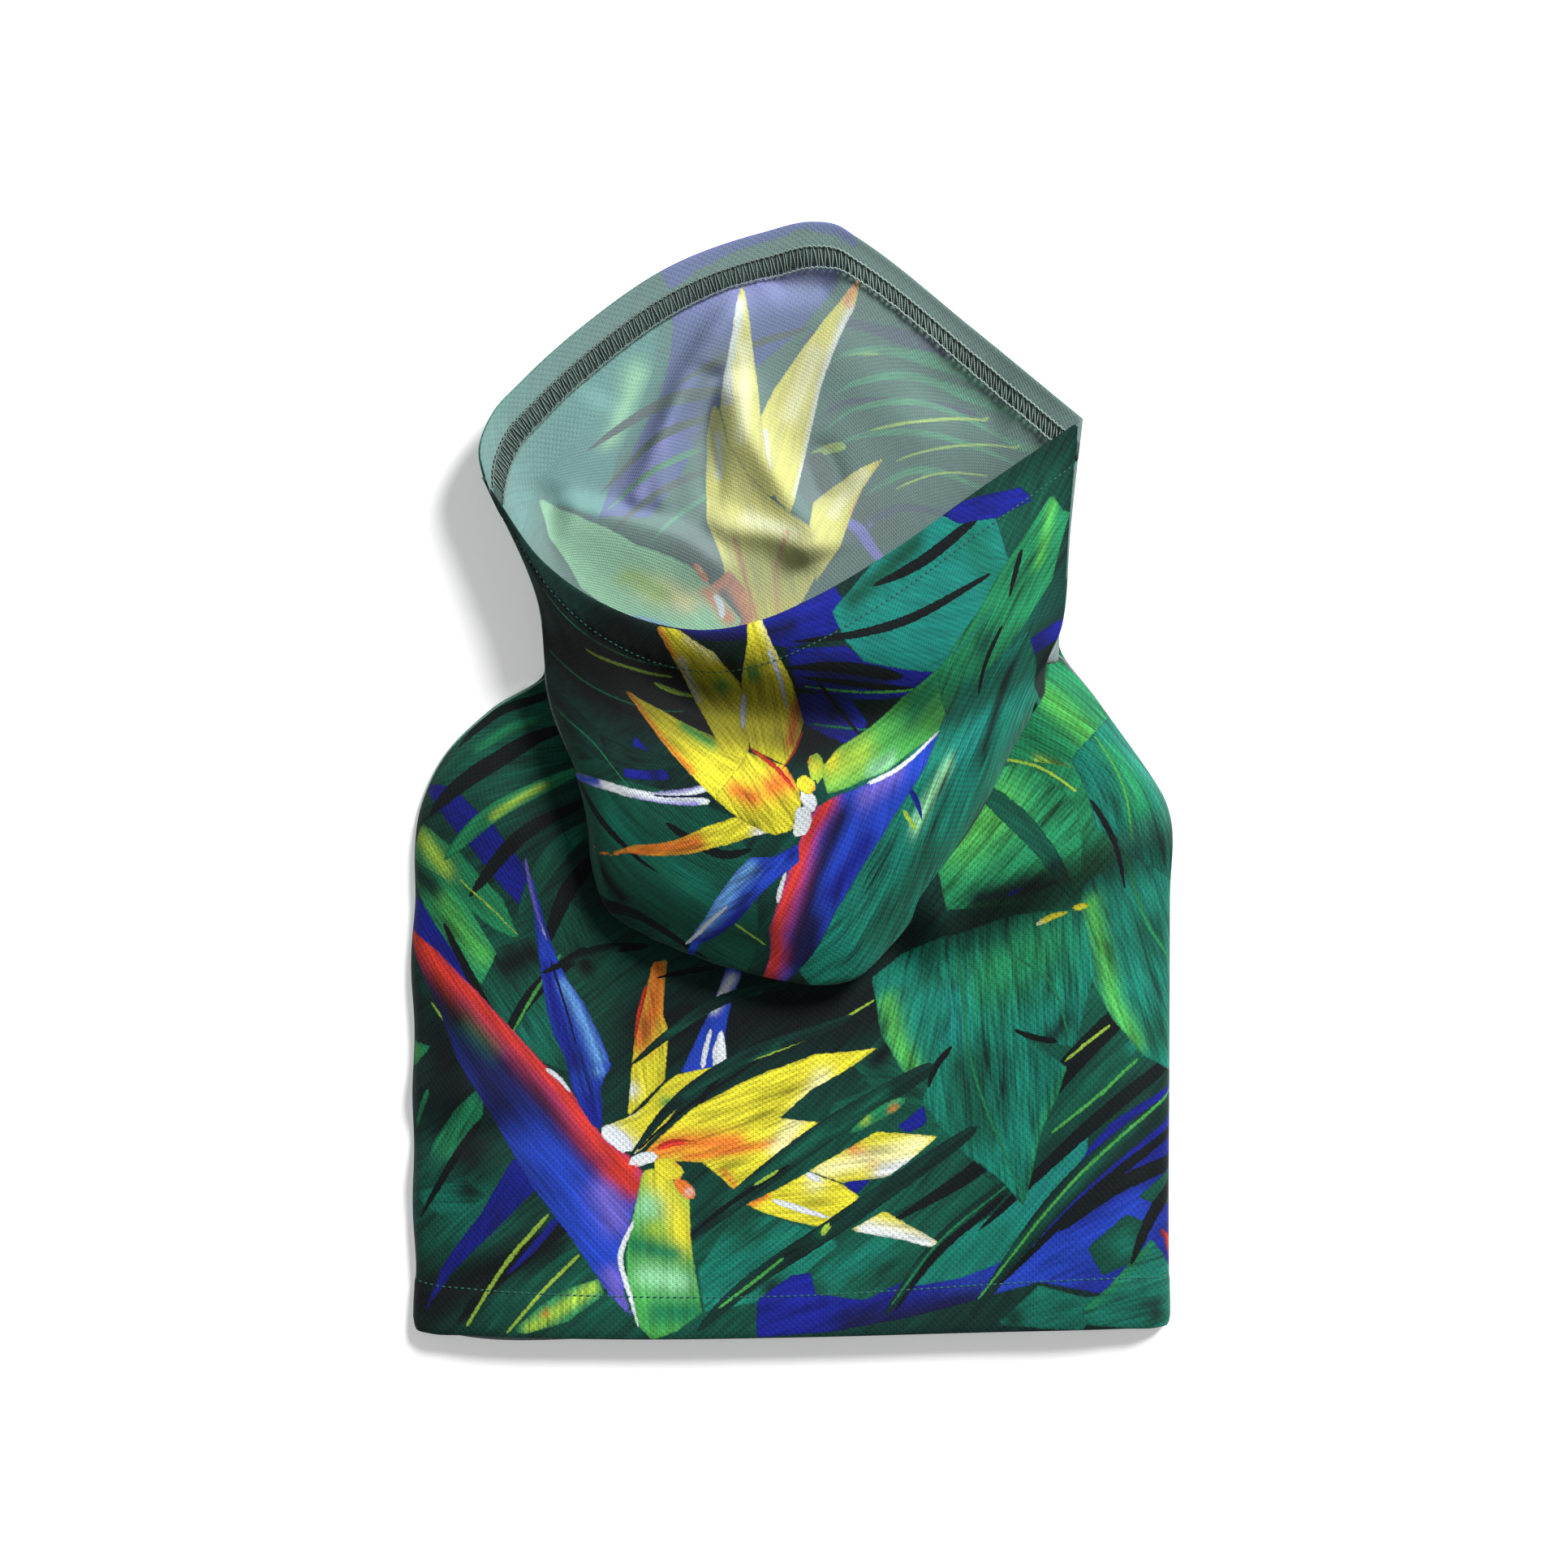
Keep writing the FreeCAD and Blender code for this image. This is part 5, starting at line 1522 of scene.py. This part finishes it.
def thread_piece(name, runs, radius):
    """Overlock threads along runs of places, metres, made as one mesh."""
    alone()
    bpy.ops.curve.primitive_bezier_curve_add()
    piece = bpy.context.object
    curve = piece.data
    curve.splines.clear()
    for run in runs:
        spline = curve.splines.new("POLY")
        spline.points.add(len(run) - 1)
        spline.points.foreach_set("co", np.concatenate([run, np.ones((len(run), 1))], axis=1).ravel())
    curve.dimensions = "3D"
    curve.bevel_depth = radius
    curve.bevel_resolution = 0
    curve.use_fill_caps = True
    bpy.ops.object.convert(target="MESH")
    bpy.ops.object.shade_smooth()
    piece = bpy.context.object
    name_piece(piece, name, ("Overlock thread",))
    return piece


HIDDEN_RUN = 30.0  # mm: a shorter stretch of seam between the folds stays without thread


def on_panel(laid_down, which, u, t, lift):
    """Places on a panel's outer face, lifted off it, in metres."""
    surface = laid_down[which]
    points = at_places(surface, laid_down["u"], laid_down["t"], u, t)
    normals = at_places(normals_of(surface), laid_down["u"], laid_down["t"], u, t)
    return (points + normals * np.asarray(lift)[..., None]) * MM


STITCH_SHARE = 0.62  # share of a stitch's pitch that its thread shows
STITCH_THICKNESS = 1.5  # of the thread: a stitch is two threads pressed together
HEM_ENDS = 3.0  # mm: the hem's threads start this far from the side seams
HEM_BANDS = {"top_hem": (7.6, 13.8), "bottom_hem": (7.6, 14.8)}  # mm from the hem's fold to the loops' ends
HEM_CHAINS = ((7.5, 0.28), (14.0, 0.2))  # mm from the hem's fold to the needle threads, and their swing
SEAM_BAND = (0.8, 4.0)  # mm from the seam to the loops' ends
SEAM_CHAIN = (4.4, 0.2)  # mm from the seam to its needle thread, and its swing
SEAM_ENDS = 16.0  # mm: the seams' threads start this far from the hems' folds
FOLD_GAPS = (8.0, 10.0)  # mm that a seam's threads keep from the folds, between them and outside them
LOOP = [  # one overlock loop: share of the pitch, share of the band's width, lift
    (0.0, 0.02, 0.10), (0.10, 0.5, 0.34), (0.24, 0.98, 0.16),
    (0.50, 1.03, 0.12), (0.62, 0.5, 0.30), (0.74, 0.04, 0.14),
]


def loops(length, pitch, band):
    """An overlock thread run: places along, places over the band, and lift."""
    count = int(length / pitch)
    k = np.repeat(np.arange(count), len(LOOP))
    shape = np.tile(np.array(LOOP), (count, 1))
    uneven = 0.10 * np.sin(k * 2.399) + 0.06 * np.sin(k * 0.71)
    along = (k + shape[:, 0] + uneven * shape[:, 1]) * pitch
    over = band[0] + (band[1] - band[0]) * (shape[:, 1] + 0.03 * np.sin(k * 1.7) * (shape[:, 1] > 0.9))
    return along, over, shape[:, 2]


def chain(length, pitch, place, swing):
    """A chained needle thread run."""
    count = int(length / pitch) * 4
    along = np.linspace(0.3, length - 0.3, count)
    over = place + swing * np.sin(np.arange(count) * np.pi / 2)
    return along, over, np.full(count, 0.42)


def hem_run(laid_down, which, at_rim, along, gap, lift):
    """Places of a run on the turned hem of one panel, on its inner side."""
    width, length = laid_down["u"][-1], laid_down["t"][-1]
    t = length - gap if at_rim else gap
    return on_panel(laid_down, which, np.clip(along + HEM_ENDS, 0.4, width - 0.4), t, -(HEM_GAP + lift))


def capsule():
    """One stitch, modelled along X: a rounded short thread of unit length."""
    alone()
    bpy.ops.mesh.primitive_uv_sphere_add(segments=8, ring_count=6, radius=0.5, rotation=(0, QUARTER_TURN, 0))
    stitch = bpy.context.object
    bpy.ops.object.transform_apply(location=False, rotation=True, scale=False)
    return stitch


def stitched(name, starts, ends, ups, thickness):
    """Copies of one modelled stitch from each start to its end, joined into one mesh."""
    stitch = capsule()
    shape = np.array([v.co for v in stitch.data.vertices])
    copies = []
    for start, end, up in zip(starts, ends, ups):
        copy = stitch.copy()
        copy.data = stitch.data.copy()
        way = end - start
        side = np.cross(up, way)
        side /= max(np.linalg.norm(side), 1e-9)
        placed = (start + end) / 2 + shape[:, :1] * way + shape[:, 1:2] * side * thickness
        placed = placed + shape[:, 2:] * up * thickness * 0.7
        copy.data.vertices.foreach_set("co", placed.ravel())
        bpy.context.collection.objects.link(copy)
        copies.append(copy)
    bpy.data.objects.remove(stitch)
    alone(copies[0])
    for copy in copies:
        copy.select_set(True)
    bpy.ops.object.join()
    piece = bpy.context.object
    bpy.ops.object.shade_smooth()
    name_piece(piece, name, ("Stitching thread",))
    return piece


def hem_stitches(at_rim):
    """Stitches of one hem on the outer faces, or inside on the back where the bottom hem is on the floor."""
    laid_down = panels()
    pitch = sizes().stitch / MM
    width, length = laid_down["u"][-1], laid_down["t"][-1]
    starts, ends, ups = [], [], []
    for which in ("front", "back"):
        along = np.arange(1.0, width - 2.5, pitch)
        gap = np.full(len(along), HEM_LINE)
        t = length - gap if at_rim else gap
        lift = -(HEM_GAP + 0.12) if which == "back" and not at_rim else 0.04
        low = on_panel(laid_down, which, along, t, np.full(len(along), lift))
        high = on_panel(laid_down, which, along + pitch * STITCH_SHARE, t + 0.12, np.full(len(along), lift))
        up = on_panel(laid_down, which, along, t, np.full(len(along), lift + 1.0)) - low
        starts.extend(low)
        ends.extend(high)
        ups.extend(up / MM)
    return np.array(starts), np.array(ends), np.array(ups)


# -------- operators

class GAITER_OT_finishes(Operator):
    """Makes the finishes: printed knit, overlock thread and stitching thread"""

    bl_idname = "gaiter.finishes"
    bl_label = "Finishes"

    def execute(self, context):
        groups = {"print": gaiter_print_group(), "knit": knit_group(), "fuzz": fuzz_group()}
        knit_material("Printed knit outside", 0.0, 0.33, 0.14, 1.0, groups)
        knit_material("Printed knit inside", 0.42, 0.05, 0.10, 0.45, groups)
        thread_material("Overlock thread", "overlock", groups, 0.62)
        thread_material("Stitching thread", "stitching", groups, 0.8)
        return {"FINISHED"}


class GAITER_OT_front_panel(Operator):
    """Lays the front panel: skirt, fold at the neck and the cowl"""

    bl_idname = "gaiter.front_panel"
    bl_label = "Front panel"

    def execute(self, context):
        piece = lay_panel("front", "front_panel_cloth")
        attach(piece, "root")
        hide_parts("front_panel")
        return {"FINISHED"}


class GAITER_OT_back_panel(Operator):
    """Lays the back panel, flat on the floor and rising at the collar"""

    bl_idname = "gaiter.back_panel"
    bl_label = "Back panel"

    def execute(self, context):
        piece = lay_panel("back", "back_panel_cloth")
        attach(piece, "root")
        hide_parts("back_panel")
        return {"FINISHED"}


class GAITER_OT_hem_overlock(Operator):
    """Sews the overlock loops and needle chains over the cut edges of both hems"""

    bl_idname = "gaiter.hem_overlock"
    bl_label = "Hem overlock"

    def execute(self, context):
        laid_down = panels()
        s = sizes()
        pitch, width = s.loop_pitch / MM, laid_down["u"][-1]
        sewn = width - 2 * HEM_ENDS
        for hem, at_rim in (("top_hem", True), ("bottom_hem", False)):
            along, over, lift = loops(sewn, pitch, HEM_BANDS[hem])
            runs = [hem_run(laid_down, side, at_rim, along, over, lift) for side in ("front", "back")]
            looper = thread_piece(f"{hem}_overlock_loops", runs, s.thread / 2)
            runs = []
            for place, swing in HEM_CHAINS:
                along, over, lift = chain(sewn, 1.6, place, swing)
                runs += [hem_run(laid_down, side, at_rim, along, over, lift) for side in ("front", "back")]
            needle = thread_piece(f"{hem}_needle_chain", runs, s.thread * 0.7)
            for piece, thread in ((looper, "looper"), (needle, "needle")):
                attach(piece, "root")
                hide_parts(f"{hem}_{thread}_thread")
        return {"FINISHED"}


class GAITER_OT_hem_stitching(Operator):
    """Sews the row of stitches that holds each hem"""

    bl_idname = "gaiter.hem_stitching"
    bl_label = "Hem stitching"

    def execute(self, context):
        for hem, at_rim in (("top_hem", True), ("bottom_hem", False)):
            piece = stitched(f"{hem}_stitches", *hem_stitches(at_rim), sizes().thread * STITCH_THICKNESS)
            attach(piece, "root")
            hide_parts(f"{hem}_stitching")
        return {"FINISHED"}


class GAITER_OT_side_seams(Operator):
    """Sews the overlocked seams that join the panels, inside at both sides"""

    bl_idname = "gaiter.side_seams"
    bl_label = "Side seams"

    def execute(self, context):
        laid_down = panels()
        s = sizes()
        width, length = laid_down["u"][-1], laid_down["t"][-1]
        between, outside = FOLD_GAPS
        for side, place, column in (("left", lambda over: over, 0), ("right", lambda over: width - over, -1)):
            neck, drop = laid_down["t"][laid_down["neck"][column]], laid_down["t"][laid_down["drop"][column]]
            looper_runs, needle_runs = [], []
            middle = [(neck + between, drop - between)] if drop - neck > HIDDEN_RUN else []
            for start, end in [(SEAM_ENDS, neck - outside), *middle, (drop + outside, length - SEAM_ENDS)]:
                along, over, lift = loops(end - start, s.loop_pitch / MM, SEAM_BAND)
                looper_runs.append(on_panel(laid_down, "front", place(over), start + along, -(0.62 + lift)))
                along, over, lift = chain(end - start, 1.8, *SEAM_CHAIN)
                needle_runs.append(on_panel(laid_down, "front", place(over), start + along, -(0.4 + lift)))
            looper = thread_piece(f"{side}_seam_overlock_loops", looper_runs, s.thread / 2)
            needle = thread_piece(f"{side}_seam_needle_chain", needle_runs, s.thread * 0.4)
            for piece, thread in ((looper, "looper"), (needle, "needle")):
                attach(piece, "root")
                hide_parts(f"{side}_seam_{thread}_thread")
        return {"FINISHED"}


def lamp(name, kind, energy, place, aim=(0, 0, 0)):
    """A studio lamp turned to a place."""
    alone()
    bpy.ops.object.light_add(type=kind, location=place)
    made = bpy.context.object
    made.name = name
    made.data.energy = energy
    way = Vector(place) - Vector(aim)
    made.rotation_euler = way.to_track_quat("Z", "Y").to_euler()
    return made


CAMERA_HEIGHT = 2.6  # metres, like the next three
CLOTH_HEIGHT = 0.012
VIEW_WIDTH = 0.5052
VIEW_CENTRE = (-0.0022, -0.0014)
SENSOR_WIDTH = 36.0  # mm, like the lens


class GAITER_OT_stage(Operator):
    """Sets the pale floor, the studio light and the camera straight above"""

    bl_idname = "gaiter.stage"
    bl_label = "Stage"

    def execute(self, context):
        alone()
        bpy.ops.mesh.primitive_plane_add(size=12, location=(0, 0, -0.0003))
        floor = bpy.context.object
        floor.name = "studio_floor"
        bpy.ops.object.transform_apply(location=True, rotation=True, scale=True)
        material, shader = new_material("Studio floor", 0.95, 0.0)
        add, feed, maths, blend, vector, scale, ramp, noise = nodes_of(material.node_tree)
        grain = noise(add("ShaderNodeTexCoord").outputs["Object"], 40.0, 2.0)
        feed(shader.inputs["Base Color"], blend(grain, (0.90, 0.90, 0.90, 1), (0.92, 0.92, 0.92, 1)))
        shader.inputs["Specular IOR Level"].default_value = 0.0
        shader.inputs["Emission Color"].default_value = (1.0, 1.0, 1.0, 1.0)
        shader.inputs["Emission Strength"].default_value = 0.28
        floor.data.materials.append(material)
        sun = lamp("key_light", "SUN", 5.35, (1.3, 1.45, 1.26))
        sun.data.angle = 0.36
        fill = lamp("fill_light", "AREA", 5.0, (-0.6, -0.8, 2.2))
        fill.data.shape = "DISK"
        fill.data.size = 2.4
        world = context.scene.world or bpy.data.worlds.new("Studio")
        context.scene.world = world
        world.use_nodes = True
        sky = world.node_tree.nodes["Background"]
        sky.inputs["Color"].default_value = (1.0, 1.0, 1.0, 1.0)
        sky.inputs["Strength"].default_value = 0.20
        alone()
        bpy.ops.object.camera_add(location=(*VIEW_CENTRE, CAMERA_HEIGHT), rotation=(0, 0, 0))
        camera = context.object
        camera.name = "camera_above"
        camera.data.lens = SENSOR_WIDTH * (CAMERA_HEIGHT - CLOTH_HEIGHT) / VIEW_WIDTH
        camera.data.clip_end = 50
        context.scene.camera = camera
        context.scene.view_settings.view_transform = "Standard"
        return {"FINISHED"}


class GAITER_PT_sidebar(Panel):
    """Sizes, colours and steps of the gaiter"""

    bl_idname = "GAITER_PT_sidebar"
    bl_label = "Neck gaiter"
    bl_space_type = "VIEW_3D"
    bl_region_type = "UI"
    bl_category = "Gaiter"

    def draw(self, context):
        for operator in OPERATORS:
            self.layout.operator(operator.bl_idname)
        for settings in (context.scene.gaiter_sizes, context.scene.gaiter_colours):
            for name in settings.__annotations__:
                self.layout.prop(settings, name)


OPERATORS = (
    GAITER_OT_stage,
    GAITER_OT_finishes,
    GAITER_OT_back_panel,
    GAITER_OT_front_panel,
    GAITER_OT_hem_overlock,
    GAITER_OT_hem_stitching,
    GAITER_OT_side_seams,
)
CLASSES = (GaiterSizes, GaiterColours, *OPERATORS, GAITER_PT_sidebar)


def register():
    for cls in CLASSES:
        bpy.utils.register_class(cls)
    bpy.types.Scene.gaiter_sizes = PointerProperty(type=GaiterSizes)
    bpy.types.Scene.gaiter_colours = PointerProperty(type=GaiterColours)


def unregister():
    del bpy.types.Scene.gaiter_colours
    del bpy.types.Scene.gaiter_sizes
    for cls in reversed(CLASSES):
        bpy.utils.unregister_class(cls)


def main():
    register()
    bpy.ops.gaiter.stage()
    bpy.ops.gaiter.finishes()
    bpy.ops.gaiter.back_panel()
    bpy.ops.gaiter.front_panel()
    bpy.ops.gaiter.hem_overlock()
    bpy.ops.gaiter.hem_stitching()
    bpy.ops.gaiter.side_seams()


if __name__ == "__main__":
    main()
